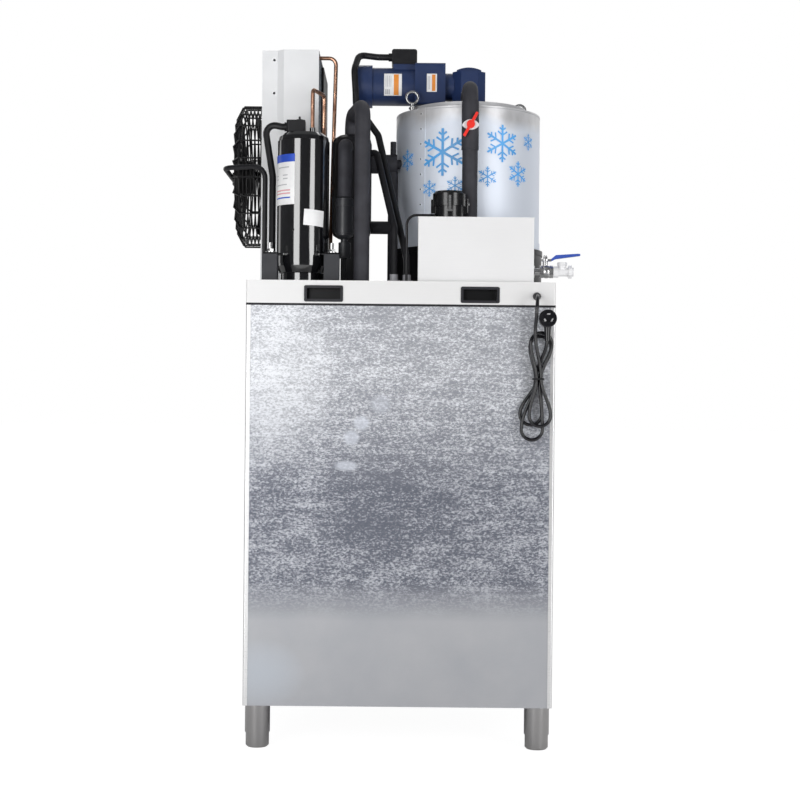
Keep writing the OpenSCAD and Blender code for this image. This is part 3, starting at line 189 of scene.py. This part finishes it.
class Surface:
    """A node material that takes its patterns from the object's own coordinates, in metres."""

    def __init__(self, name, color, roughness, metallic=0.0, coat=0.0, specular=0.5):
        self.mat = bpy.data.materials.new(name)
        self.mat.use_nodes = True
        self.tree = self.mat.node_tree
        self.bsdf = self.tree.nodes["Principled BSDF"]
        self.bsdf.inputs["Base Color"].default_value = (*color, 1)
        self.bsdf.inputs["Roughness"].default_value = roughness
        self.bsdf.inputs["Metallic"].default_value = metallic
        self.bsdf.inputs["Coat Weight"].default_value = coat
        self.bsdf.inputs["Specular IOR Level"].default_value = specular
        self.where = self.tree.nodes.new("ShaderNodeTexCoord").outputs["Object"]

    def add(self, kind, **inputs):
        node = self.tree.nodes.new(kind)
        for key, value in inputs.items():
            socket = node.inputs[key.replace("_", " ")]
            if isinstance(value, bpy.types.NodeSocket):
                self.tree.links.new(value, socket)
            else:
                socket.default_value = value
        return node

    def stretched(self, stretch):
        return self.add("ShaderNodeMapping", Vector=self.where, Scale=stretch).outputs[0]

    def noise(self, scale, detail=3.0, rough=0.55, stretch=(1, 1, 1), warp=0.0):
        node = self.add("ShaderNodeTexNoise", Vector=self.stretched(stretch), Scale=scale, Detail=detail,
                        Roughness=rough, Distortion=warp)
        return node.outputs["Fac"]

    def ramp(self, value, low, high):
        node = self.add("ShaderNodeMapRange", Value=value)
        node.inputs["From Min"].default_value, node.inputs["From Max"].default_value = low
        node.inputs["To Min"].default_value, node.inputs["To Max"].default_value = high
        return node.outputs[0]

    def axis(self, letter):
        return self.add("ShaderNodeSeparateXYZ", Vector=self.where).outputs[letter]

    def spot(self, x, z, wide, tall, core=0.5):
        """One inside an oval on the upright plane, fading to nothing at its edge."""
        across = self.math("DIVIDE", self.math("SUBTRACT", self.axis("X"), x), wide)
        along = self.math("DIVIDE", self.math("SUBTRACT", self.axis("Z"), z), tall)
        away = self.math("ADD", self.math("MULTIPLY", across, across), self.math("MULTIPLY", along, along))
        return self.ramp(away, (core, 1.3), (1, 0))

    def math(self, operation, a, b):
        node = self.tree.nodes.new("ShaderNodeMath")
        node.operation = operation
        for socket, value in zip(node.inputs, (a, b)):
            if isinstance(value, bpy.types.NodeSocket):
                self.tree.links.new(value, socket)
            else:
                socket.default_value = value
        return node.outputs[0]

    def mix(self, share, a, b):
        node = self.tree.nodes.new("ShaderNodeMix")
        node.data_type = "RGBA"
        for name, value in (("Factor", share), ("A", a), ("B", b)):
            kind = "VALUE" if name == "Factor" else "RGBA"
            socket = next(s for s in node.inputs if s.name == name and s.type == kind and s.enabled)
            if isinstance(value, bpy.types.NodeSocket):
                self.tree.links.new(value, socket)
            else:
                socket.default_value = value if name == "Factor" else (*value, 1)
        return next(s for s in node.outputs if s.type == "RGBA" and s.enabled)

    def color(self, socket):
        self.tree.links.new(socket, self.bsdf.inputs["Base Color"])

    def roughness(self, socket):
        self.tree.links.new(socket, self.bsdf.inputs["Roughness"])

    def bump(self, height, strength, distance):
        node = self.add("ShaderNodeBump", Height=height, Strength=strength, Distance=distance)
        self.tree.links.new(node.outputs[0], self.bsdf.inputs["Normal"])


def brushed(name, color, roughness, along, metallic=0.85, cloud=0.04, depth=0.04):
    """Sheet metal with fine brush lines along one axis and faint cloudy stains."""
    s = Surface(name, color, roughness, metallic)
    lines = tuple(12 if letter == along else 2600 for letter in "XYZ")
    grain = s.noise(1.0, 2, 0.6, lines)
    stain = s.noise(5.0, 4)
    lined = s.ramp(grain, (0.3, 0.7), (1 - cloud, 1.0))
    stained = s.ramp(stain, (0.3, 0.7), (1 - cloud, 1.0))
    shade = s.math("MULTIPLY", lined, stained)
    s.color(s.mix(shade, (0, 0, 0), color))
    s.roughness(s.ramp(grain, (0.3, 0.7), (roughness - 0.04, roughness + 0.06)))
    s.bump(grain, depth, 0.0003)
    return s.mat


def galvanised(name):
    """Zinc sheet with a frosty spangle that stops short of the floor, and with a few wiped spots. Its tone also
    carries painted reflection, darkest in the middle and lighter at the top and in the bottom band, with a
    painted highlight at the upper left and a patch of painted shade in the middle.
    """
    s = Surface(name, (0.5, 0.51, 0.54), 0.45, 0.45)
    height = s.axis("Z")
    # Painted reflection in the tone: low marks the smooth band at the bottom, without spangle and painted
    # lighter as a reflection of the floor; high lightens the sheet upwards as a painted reflection of the
    # lamps, leaving the middle darkest.
    low = s.ramp(height, (0.29, 0.38), (1, 0))
    high = s.ramp(height, (0.58, 0.86), (0, 1))
    # Painted highlight: a bright patch at the upper left that lifts the base towards pale zinc and brings out
    # more spangle.
    painted_highlight = s.spot(-0.29, 0.85, 0.14, 0.2, 0)
    # Painted shade: a darker patch in the middle of the sheet, with less spangle.
    dull = s.spot(-0.035, 0.55, 0.16, 0.13, 0)
    blotch = s.spot(-0.31, 0.17, 0.09, 0.07, 0)
    wiped = s.math("MULTIPLY", s.spot(-0.044, 0.781, 0.022, 0.022), 0.6)
    for oval in ((-0.087, 0.738, 0.018, 0.017), (-0.109, 0.705, 0.018, 0.017), (-0.12, 0.641, 0.026, 0.011)):
        wiped = s.math("MAXIMUM", wiped, s.spot(*oval))
    frost = s.noise(210, 8, 0.78, (0.72, 1, 1.35), 0.4)
    patches = s.noise(16, 6, 0.7, (0.8, 1, 1.3))
    streaks = s.noise(60, 4, 0.6, (0.12, 1, 1.6))
    level = s.math("ADD", frost, s.ramp(patches, (0.3, 0.7), (-0.055, 0.055)))
    level = s.math("ADD", level, s.ramp(streaks, (0.3, 0.7), (-0.035, 0.03)))
    # More spangle under the painted highlight, less under the painted shade.
    painted_light_and_shade = s.math("SUBTRACT", s.math("MULTIPLY", painted_highlight, 0.06), s.math("MULTIPLY", dull, 0.05))
    level = s.math("ADD", level, painted_light_and_shade)
    spangle = s.math("MULTIPLY", s.ramp(level, (0.46, 0.6), (0, 1)), s.math("SUBTRACT", 1.0, low))
    # Painted reflection: the base and the spangle are painted darkest in the middle and lighter towards the
    # top, and the bottom band takes the lighter clean tone.
    base = s.mix(high, (0.125, 0.135, 0.17), (0.33, 0.34, 0.375))
    base = s.mix(s.math("MULTIPLY", painted_highlight, 0.35), base, (0.6, 0.61, 0.63))
    clean = s.mix(s.ramp(s.noise(7, 3), (0.3, 0.7), (0, 1)), (0.4, 0.41, 0.437), (0.45, 0.455, 0.475))
    base = s.mix(low, base, s.mix(blotch, clean, (0.47, 0.5, 0.545)))
    bright = s.mix(high, (0.55, 0.565, 0.61), (0.8, 0.815, 0.85))
    s.color(s.mix(s.math("MULTIPLY", wiped, 0.6), s.mix(spangle, base, bright), (0.64, 0.67, 0.74)))
    s.roughness(s.ramp(frost, (0.35, 0.65), (0.38, 0.55)))
    s.bump(frost, 0.1, 0.0005)
    return s.mat


def paint(name, color, roughness, coat=0.0, metallic=0.0, peel=0.05, specular=0.5):
    """Paint with a faint orange peel and slight changes of tone."""
    s = Surface(name, color, roughness, metallic, coat, specular)
    tone = s.noise(6, 3)
    s.color(s.mix(s.ramp(tone, (0.3, 0.7), (0, 1)), tuple(0.88 * c for c in color), color))
    s.roughness(s.ramp(s.noise(30, 3), (0.3, 0.7), (roughness * 0.85, roughness * 1.15)))
    s.bump(s.noise(420, 2), peel, 0.0005)
    return s.mat


def moulded(name, color, roughness, grain=600, depth=0.1, specular=0.5):
    """Moulded plastic or rubber with a fine grain and worn tone."""
    s = Surface(name, color, roughness, specular=specular)
    tone = s.noise(14, 4)
    s.color(s.mix(s.ramp(tone, (0.3, 0.7), (0, 1)), color, tuple(min(1, 1.3 * c + 0.002) for c in color)))
    s.roughness(s.ramp(s.noise(60, 3), (0.3, 0.7), (roughness - 0.06, roughness + 0.08)))
    s.bump(s.noise(grain, 3), depth, 0.0006)
    return s.mat


def foam_sleeve(name, color):
    """Closed-cell pipe lagging, matt and slightly dented."""
    s = Surface(name, color, 0.62, specular=0.3)
    cells = s.noise(900, 2)
    dents = s.noise(26, 3)
    s.color(s.mix(s.ramp(dents, (0.3, 0.7), (0, 1)), color, tuple(1.5 * c for c in color)))
    s.bump(s.math("ADD", s.math("MULTIPLY", cells, 0.25), dents), 0.25, 0.001)
    return s.mat


def film_jacket(name):
    """Steel under a pale blue film that stops short of the top."""
    film = (0.79, 0.84, 0.93)
    s = Surface(name, film, 0.5, 0.4)
    edge = s.ramp(s.noise(9, 3), (0.3, 0.7), (-0.012, 0.012))
    bare = s.ramp(s.math("ADD", s.axis("Z"), edge), (1.436, 1.466), (0, 1))
    stain = s.ramp(s.noise(16, 4, stretch=(1, 1, 0.5)), (0.35, 0.65), (0, 1))
    s.color(s.mix(bare, film, s.mix(stain, (0.54, 0.54, 0.55), (0.74, 0.74, 0.76))))
    s.roughness(s.ramp(bare, (0, 1), (0.52, 0.34)))
    s.bump(s.noise(1.0, 2, 0.6, (2600, 2600, 12)), 0.02, 0.0003)
    return s.mat


def plastic_with_painted_pocket_shade(name, front, inside, level):
    """Moulded plastic whose face is paler than the pocket behind that level, the pocket painted dark as painted
    shade.
    """
    s = Surface(name, front, 0.32, specular=0.4)
    # Painted shade: darker deeper into the pocket.
    depth = s.ramp(s.axis("Y"), (level - 0.0005, level + 0.003), (0, 1))
    s.color(s.mix(depth, front, inside))
    s.bump(s.noise(600, 3), 0.06, 0.0006)
    return s.mat


def copper(name):
    """Drawn copper, dull in patches."""
    s = Surface(name, (0.6, 0.38, 0.3), 0.3, 1.0)
    tarnish = s.ramp(s.noise(28, 4), (0.4, 0.62), (0, 1))
    s.color(s.mix(tarnish, (0.55, 0.32, 0.22), (0.29, 0.15, 0.1)))
    s.roughness(s.ramp(tarnish, (0, 1), (0.24, 0.48)))
    s.bump(s.noise(300, 2, stretch=(1, 1, 0.05)), 0.08, 0.0005)
    return s.mat


def finned(name):
    """Aluminium fins in a close row, with painted shade in the spaces between them."""
    s = Surface(name, (0.6, 0.62, 0.65), 0.35, 0.9)
    pitch = 0.0024
    wave = s.math("SINE", s.math("MULTIPLY", s.axis("Y"), 2 * math.pi / pitch), 0)
    # Painted shade: the spaces between the fins are painted near black.
    painted_gap_shade = s.ramp(wave, (-0.2, 0.5), (0, 1))
    s.color(s.mix(painted_gap_shade, (0.05, 0.06, 0.08), (0.4, 0.46, 0.53)))
    s.bump(wave, 0.5, 0.001)
    return s.mat


LOOKS = {
    "stainless": brushed("stainless", (0.8, 0.8, 0.805), 0.3, "X", 0.6),
    "galvanised": galvanised("galvanised"),
    "liner": brushed("liner_steel", (0.8, 0.8, 0.8), 0.4, "X"),
    "foam": moulded("foam", (0.85, 0.76, 0.5), 0.8, 200, 0.4),
    "bright_steel": brushed("bright_steel", (0.56, 0.56, 0.56), 0.24, "X", 0.95),
    "jacket": film_jacket("jacket_steel"),
    "seal_rubber": moulded("seal_rubber", (0.014, 0.014, 0.017), 0.55, specular=0.3),
    "black_plastic": moulded("black_plastic", (0.007, 0.007, 0.009), 0.4, specular=0.35),
    "cord": moulded("cord_rubber", (0.004, 0.004, 0.006), 0.2, 300, 0.05, specular=0.6),
    "base_paint": paint("base_paint", (0.006, 0.006, 0.007), 0.4, specular=0.3),
    "motor_blue": paint("motor_blue", (0.02, 0.04, 0.122), 0.34, 0.15),
    "lagging": foam_sleeve("lagging", (0.03, 0.03, 0.036)),
    "grey_plastic": moulded("grey_plastic", (0.28, 0.28, 0.3), 0.42),
    "float_plastic": moulded("float_plastic", (0.8, 0.25, 0.05), 0.4),
    "white_plastic": moulded("white_plastic", (0.66, 0.66, 0.67), 0.3),
    "red_plastic": moulded("red_plastic", (0.7, 0.025, 0.015), 0.32),
    "blue_plastic": moulded("blue_plastic", (0.025, 0.07, 0.36), 0.35),
    "black_enamel": paint("black_enamel", (0.003, 0.003, 0.004), 0.1, 1.0, specular=1.0),
    "copper": copper("copper"),
    "fins": finned("fins"),
    "white_paint": paint("white_paint", (0.86, 0.87, 0.885), 0.35),
    "guard_wire": paint("guard_wire", (0.006, 0.006, 0.007), 0.35, specular=0.35),
}
FILM = brushed("filmed_steel", (0.8, 0.797, 0.797), 0.36, "X", 0.12, 0.03)
SATIN_BLACK = paint("satin_black", (0.008, 0.008, 0.01), 0.34, specular=0.45)
TANK_STEEL = brushed("tank_steel", (0.87, 0.868, 0.873), 0.34, "X", 0.15, 0.035)
POST_RUBBER = moulded("post_rubber", (0.021, 0.022, 0.027), 0.5)
LEG_STEEL = brushed("leg_steel", (0.44, 0.43, 0.43), 0.2, "Z", 1.0, 0.03, 0.01)
# Flush pulls with painted shade in their pockets.
PULL_PLASTIC = plastic_with_painted_pocket_shade("pull_plastic", (0.026, 0.026, 0.031), (0.002, 0.002, 0.003), BACK_Y - 0.0005)
LID_STEEL = brushed("lid_steel", (0.6, 0.6, 0.615), 0.5, "X", 0.4)
PUMP_BLACK = paint("pump_black", (0.004, 0.004, 0.005), 0.26, 0.2)
DRIER_GREY = paint("drier_grey", (0.026, 0.027, 0.032), 0.4)
NODE_LOOKS = {
    "base_tray": FILM,
    "water_tank": TANK_STEEL,
    "tank_cover": TANK_STEEL,
    "accumulator": SATIN_BLACK,
    "compressor_posts": POST_RUBBER,
    "circulating_pump": PUMP_BLACK,
    "drum_lid": LID_STEEL,
    "filter_drier": DRIER_GREY,
    "flush_pulls": PULL_PLASTIC,
    "leg_tubes": LEG_STEEL,
    "foot_rear_left": LEG_STEEL,
    "foot_rear_right": LEG_STEEL,
    "foot_front_left": LEG_STEEL,
    "foot_front_right": LEG_STEEL,
}

for part in frame["record"]["subparts"]:
    mesh = NODES[part["node"]].data
    mesh.materials.clear()
    mesh.materials.append(NODE_LOOKS.get(part["node"], LOOKS[part["material_slot"]]))


# Pieces


def finish_piece(obj, look, body="machine"):
    obj.data.materials.clear()
    obj.data.materials.append(look)
    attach(obj, body)
    return obj


def round_edges(node, width):
    bevel = NODES[node].modifiers.new("edges", "BEVEL")
    bevel.width = width
    bevel.segments = 2
    bevel.limit_method = "ANGLE"
    bevel.angle_limit = math.radians(50)


EDGE_WIDTHS = {
    "gear_head": 0.003,
    "motor_terminal_box": 0.005,
    "terminal_cover": 0.004,
    "bin_door": 0.002,
    "power_plug": 0.0012,
    "compressor_posts": 0.002,
    "inlet_lever": 0.001,
    "gearbox": 0.002,
}
for node, width in EDGE_WIDTHS.items():
    round_edges(node, width)


def upright_wrap(axis, radius):
    """Surface of an upright cylinder: u is the arc from the camera's side, v the height."""
    def onto(u, v, lift):
        a = u / radius
        return (axis[0] + (radius + lift) * math.sin(a), axis[1] - (radius + lift) * math.cos(a), v)
    return onto


def level_wrap(y, z, radius):
    """Surface of a cylinder along X: u is the place along it, v the arc up from the camera's side."""
    def onto(u, v, lift):
        a = v / radius
        return (u, y - (radius + lift) * math.cos(a), z + (radius + lift) * math.sin(a))
    return onto


def flat(y):
    def onto(u, v, lift):
        return (u, y - lift, v)
    return onto


# How far a label, its ink and the drum's print stand off the surface
PAPER_LIFT, INK_LIFT, FILM_LIFT = 0.0004, 0.0006, 0.0015


class Print:
    """Thin printed strokes on a surface, each ink a material of the piece."""

    def __init__(self, name, onto):
        self.name = name
        self.onto = onto
        self.bm = bmesh.new()
        self.inks = []

    def stroke(self, ink, start, end, width, lift=PAPER_LIFT):
        if ink not in self.inks:
            self.inks.append(ink)
        start, end = Vector(start), Vector(end)
        way = end - start
        steps = max(1, round(way.length / 0.005))
        side = Vector((-way.y, way.x)).normalized() * (width / 2)
        rows = []
        for i in range(steps + 1):
            p = start + way * (i / steps)
            rows.append([self.bm.verts.new(self.onto(*(p + side * k), lift)) for k in (1, -1)])
        for (a, b), (c, d) in zip(rows, rows[1:]):
            face = self.bm.faces.new((a, b, d, c))
            face.material_index = self.inks.index(ink)
            face.smooth = True

    def finish(self):
        mesh = bpy.data.meshes.new(self.name)
        self.bm.to_mesh(mesh)
        self.bm.free()
        obj = link(self.name, mesh)
        for ink in self.inks:
            mesh.materials.append(ink)
        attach(obj, "machine")


PAPER = moulded("label_paper", (0.78, 0.78, 0.79), 0.4, 900, 0.02)
BLUE_INK = moulded("label_blue", (0.02, 0.075, 0.5), 0.4, 900, 0.02)
GREY_INK = moulded("label_grey", (0.42, 0.42, 0.44), 0.4, 900, 0.02)
PINK_INK = moulded("label_pink", (0.62, 0.3, 0.33), 0.4, 900, 0.02)
ORANGE_INK = moulded("label_orange", (0.75, 0.26, 0.04), 0.4, 900, 0.02)
FILM_PRINT = moulded("film_print", (0.09, 0.36, 0.74), 0.35, 900, 0.02)


def compressor_labels():
    tag = Print("compressor_label", upright_wrap(COMP_AXIS, COMP_R))
    left, right = math.radians(-85) * COMP_R, math.radians(-15.6) * COMP_R
    low, high = 1.238, 1.354
    wide = right - left
    tag.stroke(PAPER, (left, (low + high) / 2), (right, (low + high) / 2), high - low)
    tag.stroke(BLUE_INK, (left, high - 0.009), (right, high - 0.009), 0.018, INK_LIFT)
    for share, length, drop in ((0.3, 0.5, 0.03), (0.12, 0.16, 0.048), (0.55, 0.2, 0.048), (0.12, 0.16, 0.056),
                                (0.55, 0.2, 0.056), (0.12, 0.6, 0.07)):
        start, end = left + share * wide, left + (share + length) * wide
        tag.stroke(GREY_INK, (start, high - drop), (end, high - drop), 0.0025, INK_LIFT)
    start, end = left + 0.1 * wide, left + 0.85 * wide
    for ink, drop in ((PINK_INK, 0.083), (PINK_INK, 0.09), (BLUE_INK, 0.1)):
        tag.stroke(ink, (start, high - drop), (end, high - drop), 0.003, INK_LIFT)
    tag.finish()
    small = Print("compressor_tag", upright_wrap(COMP_AXIS, COMP_R))
    left, right = math.radians(5) * COMP_R, math.radians(54) * COMP_R
    small.stroke(PAPER, (left, 1.209), (right, 1.206), 0.037)
    small.finish()


def motor_labels():
    plate = Print("motor_label", level_wrap(DRUM_AXIS[1], MOTOR_Z, BARREL_R))
    low, high = math.radians(-38) * BARREL_R, math.radians(32) * BARREL_R
    plate.stroke(PAPER, (-0.0245, low), (-0.0245, high), 0.043)
    plate.stroke(ORANGE_INK, (-0.0165, low + 0.002), (-0.0165, high - 0.002), 0.012, INK_LIFT)
    for x in (-0.0415, -0.0375, -0.0335, -0.0295):
        plate.stroke(GREY_INK, (x, low + 0.022), (x, high - 0.006), 0.0013, INK_LIFT)
    for x in (-0.0415, -0.0375, -0.0335):
        plate.stroke(GREY_INK, (x, low + 0.004), (x, low + 0.016), 0.0026, INK_LIFT)
    plate.finish()
    side = Print("gear_label", flat(DRUM_AXIS[1] - HEAD_HALF))
    side.stroke(PAPER, (0.07, 1.540), (0.07, 1.584), 0.0245)
    side.stroke(ORANGE_INK, (0.0745, 1.542), (0.0745, 1.582), 0.0085, INK_LIFT)
    for x in (0.061, 0.0645):
        side.stroke(GREY_INK, (x, 1.546), (x, 1.578), 0.0012, INK_LIFT)
    side.finish()


def snowflake(sheet, u, v, size):
    """Six arms with two pairs of twigs each."""
    middle = Vector((u, v))
    for i in range(6):
        a = math.radians(60 * i + 30)
        way = Vector((math.cos(a), math.sin(a)))
        sheet.stroke(FILM_PRINT, middle, middle + way * size, size * 0.11, FILM_LIFT)
        for out, length in ((0.45, 0.34), (0.72, 0.22)):
            for turn in (-55, 55):
                b = a + math.radians(turn)
                foot = middle + way * (size * out)
                tip = foot + Vector((math.cos(b), math.sin(b))) * (size * length)
                sheet.stroke(FILM_PRINT, foot, tip, size * 0.08, FILM_LIFT)


def drum_print():
    sheet = Print("drum_print", upright_wrap(DRUM_AXIS, JACKET_R))
    for degrees, z, size in ((-22, 1.376, 0.056), (25, 1.398, 0.044), (40, 1.33, 0.03), (13, 1.318, 0.024),
                             (-33, 1.292, 0.02), (-12, 1.296, 0.022), (52, 1.41, 0.02), (-57, 1.366, 0.026)):
        snowflake(sheet, math.radians(degrees) * JACKET_R, z, size)
    sheet.finish()
    # Painted shade: a thin grey line round the jacket along its hem.
    hem = Print("jacket_hem_painted_shade", upright_wrap(DRUM_AXIS, JACKET_R))
    half_round, hem_z = math.pi * JACKET_R, 1.4805
    hem.stroke(GREY_INK, (-half_round, hem_z), (half_round, hem_z), 0.0016)
    hem.finish()


def solid_piece(name, bm, look, body="machine"):
    mesh = bpy.data.meshes.new(name)
    bm.to_mesh(mesh)
    bm.free()
    return finish_piece(link(name, mesh), look, body)


ALONG_X = Matrix.Rotation(math.radians(90), 4, "Y")


def drum_shape(bm, place, radius, height, sides, turn=Matrix()):
    """Cylinder about its middle, upright unless it is turned."""
    bmesh.ops.create_cone(bm, cap_ends=True, segments=sides, radius1=radius, radius2=radius, depth=height,
                          matrix=Matrix.Translation(place) @ turn)


def box_shape(bm, low, high):
    middle = [(a + b) / 2 for a, b in zip(low, high)]
    scale = Matrix.Diagonal([b - a for a, b in zip(low, high)] + [1])
    bmesh.ops.create_cube(bm, size=1, matrix=Matrix.Translation(middle) @ scale)


def post_nuts():
    bm = bmesh.new()
    for x, y in ((-0.0705, -0.06), (0.0705, -0.06), (0, 0.0815)):
        foot = (COMP_AXIS[0] + x, COMP_AXIS[1] + y, DECK_Z + 0.062)
        drum_shape(bm, (foot[0], foot[1], foot[2] + 0.0055), 0.0105, 0.0025, 20)
        drum_shape(bm, (foot[0], foot[1], foot[2] + 0.0085), 0.0085, 0.008, 6)
        drum_shape(bm, (foot[0], foot[1], foot[2] + 0.0195), 0.0044, 0.0145, 14)
    solid_piece("post_nuts", bm, LOOKS["bright_steel"])


def pump_clips():
    bm = bmesh.new()
    x, y = PUMP_AXIS
    out = 0.0423
    back, side, z = y - out, x + out, TANK_TOP
    box_shape(bm, (x - 0.003, back - 0.001, z + 0.014), (x + 0.003, back + 0.001, z + 0.05))
    box_shape(bm, (x - 0.006, back - 0.0015, z + 0.013), (x + 0.006, back + 0.001, z + 0.018))
    box_shape(bm, (side - 0.001, y - 0.006, z + 0.014), (side + 0.001, y + 0.006, z + 0.046))
    drum_shape(bm, (side + 0.002, y - 0.002, z + 0.034), 0.0035, 0.004, 14, ALONG_X)
    solid_piece("pump_clips", bm, LOOKS["bright_steel"])


def lever_plate():
    """Bare steel foot of the ball valve's lever below its plastic grip."""
    bm = bmesh.new()
    x, y, z = LEVER
    drum_shape(bm, (x, y, z + 0.0023), 0.0094, 0.0044, 28)
    box_shape(bm, (x, y - 0.0068, z + 0.0001), (x + 0.0138, y + 0.0068, z + 0.0045))
    drum_shape(bm, (x, y, z + 0.0075), 0.0055, 0.006, 6)
    solid_piece("lever_plate", bm, LOOKS["bright_steel"], "inlet_handle")


def hoop(bm, x, centre, radius, wire, steps=72, sides=6):
    """Ring of wire round the fan's axis."""
    rings = []
    for i in range(steps):
        a = 2 * math.pi * i / steps
        ring = []
        for k in range(sides):
            b = 2 * math.pi * k / sides
            out = radius + wire * math.cos(b)
            place = (x + wire * math.sin(b), centre[0] + out * math.cos(a), centre[1] + out * math.sin(a))
            ring.append(bm.verts.new(place))
        rings.append(ring)
    for i, ring in enumerate(rings):
        after = rings[(i + 1) % steps]
        for k in range(sides):
            j = (k + 1) % sides
            bm.faces.new((ring[k], ring[j], after[j], after[k])).smooth = True


def guard_hoops():
    """Closer hoops between those of the guard, inside its ribs."""
    bm = bmesh.new()
    wire, side_r = 0.002, 0.1709
    hoops = ((-0.348, side_r), (-0.366, side_r), (-0.384, side_r), (-0.3965, 0.1652), (-0.4015, 0.1564))
    for x, radius in hoops:
        hoop(bm, x, FAN_AXIS, radius, wire)
    bmesh.ops.recalc_face_normals(bm, faces=bm.faces)
    solid_piece("guard_hoops", bm, LOOKS["guard_wire"])


def painted_rivet_shade():
    """Dark disc in the head of each blind rivet along the jacket's seam, painted shade of its hollow centre."""
    bm = bmesh.new()
    rivets, first, pitch, out = 9, 1.184, 0.035875, JACKET_R + 0.0026
    hole_r, hole_h = 0.0017, 0.0006
    seam = math.radians(229)
    outward = Matrix.Rotation(seam, 4, "Z") @ ALONG_X
    for i in range(rivets):
        place = (DRUM_AXIS[0] + out * math.cos(seam), DRUM_AXIS[1] + out * math.sin(seam), first + i * pitch)
        drum_shape(bm, place, hole_r, hole_h, 12, outward)
    solid_piece("painted_rivet_shade", bm, LOOKS["seal_rubber"])


def coil_dark_plate():
    """Dark plate between the coil and the shroud's open side."""
    bm = bmesh.new()
    box_shape(bm, (-0.2035, 0.056, 1.066), (-0.198, 0.26, 1.62))
    solid_piece("coil_dark_plate", bm, LOOKS["seal_rubber"])


def plug_pins():
    """Bright sleeves of the three flat pins."""
    bm = bmesh.new()
    x, y, z = PLUG
    for degrees in (90, 210, 330):
        c, d = math.cos(math.radians(degrees)), math.sin(math.radians(degrees))
        bmesh.ops.create_cube(bm, size=1, matrix=Matrix((
            (0.0023 * c, -0.0065 * d, 0, x + 0.009 * c), (0, 0, -0.017, y - 0.0087),
            (0.0023 * d, 0.0065 * c, 0, z + 0.009 * d), (0, 0, 0, 1))))
    return solid_piece("plug_pins", bm, LOOKS["stainless"])


compressor_labels()
coil_dark_plate()
motor_labels()
drum_print()
guard_hoops()
painted_rivet_shade()
post_nuts()
pump_clips()
lever_plate()


# Cord


def ease(t):
    return (1 - math.cos(math.pi * t)) / 2


def run(start, end, steps):
    """Points from start to end that leave and arrive straight up or down."""
    points = []
    for i in range(1, steps + 1):
        t = i / steps
        x, y = (a + (b - a) * ease(t) for a, b in zip(start[:2], end[:2]))
        points.append((x, y, start[2] + (end[2] - start[2]) * t))
    return points


def fold(start, end, up, steps=14):
    """Half a turn from start to end at one height, over the top or under the bottom."""
    middle = (start[0] + end[0]) / 2
    half = (start[0] - end[0]) / 2
    sign = 1 if up else -1
    points = []
    for i in range(1, steps + 1):
        t = i / steps
        points.append((middle + half * math.cos(math.pi * t), start[1] + (end[1] - start[1]) * t,
                       start[2] + sign * abs(half) * math.sin(math.pi * t)))
    return points


CORD_D = 0.008
CORD_EXIT = (0.307, -0.3292, 1.028)
TIE_Z = 0.841
LAYER_FRONT, LAYER_MID, LAYER_BACK = -0.3405, -0.332, -0.3235


def cord_path():
    """From the grommet to the hank, three folds below the tie and two above it, and up to the plug."""
    bend, steps, aside = 0.033, 8, 0.004
    exit_x, exit_z = CORD_EXIT[0], CORD_EXIT[2]
    turn_y, turn_z = -0.332, exit_z - bend
    points = [CORD_EXIT, (exit_x, turn_y, exit_z)]
    for i in range(1, steps + 1):
        a = math.pi / 2 * i / steps
        points.append((exit_x - aside * i / steps, turn_y - bend * math.sin(a), turn_z + bend * math.cos(a)))
    points += run(points[-1], (0.301, -0.3495, 0.945), 4)
    points += run(points[-1], (0.316, LAYER_FRONT, TIE_Z), 8)
    below = [(0.338, 0.290, 0.759, LAYER_FRONT, 0.306), (0.321, 0.273, 0.728, LAYER_MID, 0.3045),
             (0.3195, 0.2705, 0.762, LAYER_BACK, 0.307)]
    above = [(0.292, 0.340, 0.921, LAYER_MID, 0.314), (0.291, 0.339, 0.913, LAYER_BACK, 0.316)]
    for i, (right, left, z, layer, back_x) in enumerate(below):
        points += run(points[-1], (right, layer, z), 7)
        points += fold(points[-1], (left, layer, z), up=False)
        points += run(points[-1], (back_x, layer, TIE_Z), 7)
        if i < len(above):
            rise, fall, top, next_layer, tie_x = above[i]
            points += run(points[-1], (rise, layer, top), 7)
            points += fold(points[-1], (fall, next_layer, top), up=True)
            points += run(points[-1], (tie_x, next_layer, TIE_Z), 7)
    points.append((0.307, LAYER_BACK, TIE_Z + 0.005))
    points += run(points[-1], (0.328, -0.353, 0.93), 10)
    return points


def make_cord():
    points = cord_path()
    curve = bpy.data.curves.new("mains_lead", "CURVE")
    curve.dimensions = "3D"
    curve.bevel_depth = CORD_D / 2
    curve.bevel_resolution = 4
    curve.use_fill_caps = True
    spline = curve.splines.new("POLY")
    spline.points.add(len(points) - 1)
    for place, p in zip(spline.points, points):
        place.co = (*p, 1)
    lead = link("mains_lead", curve)
    finish_piece(lead, LOOKS["cord"])
    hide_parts("power_cord", "cord_hank")
    carried = [NODES["power_plug"], NODES["cord_tie"], plug_pins()]


make_cord()
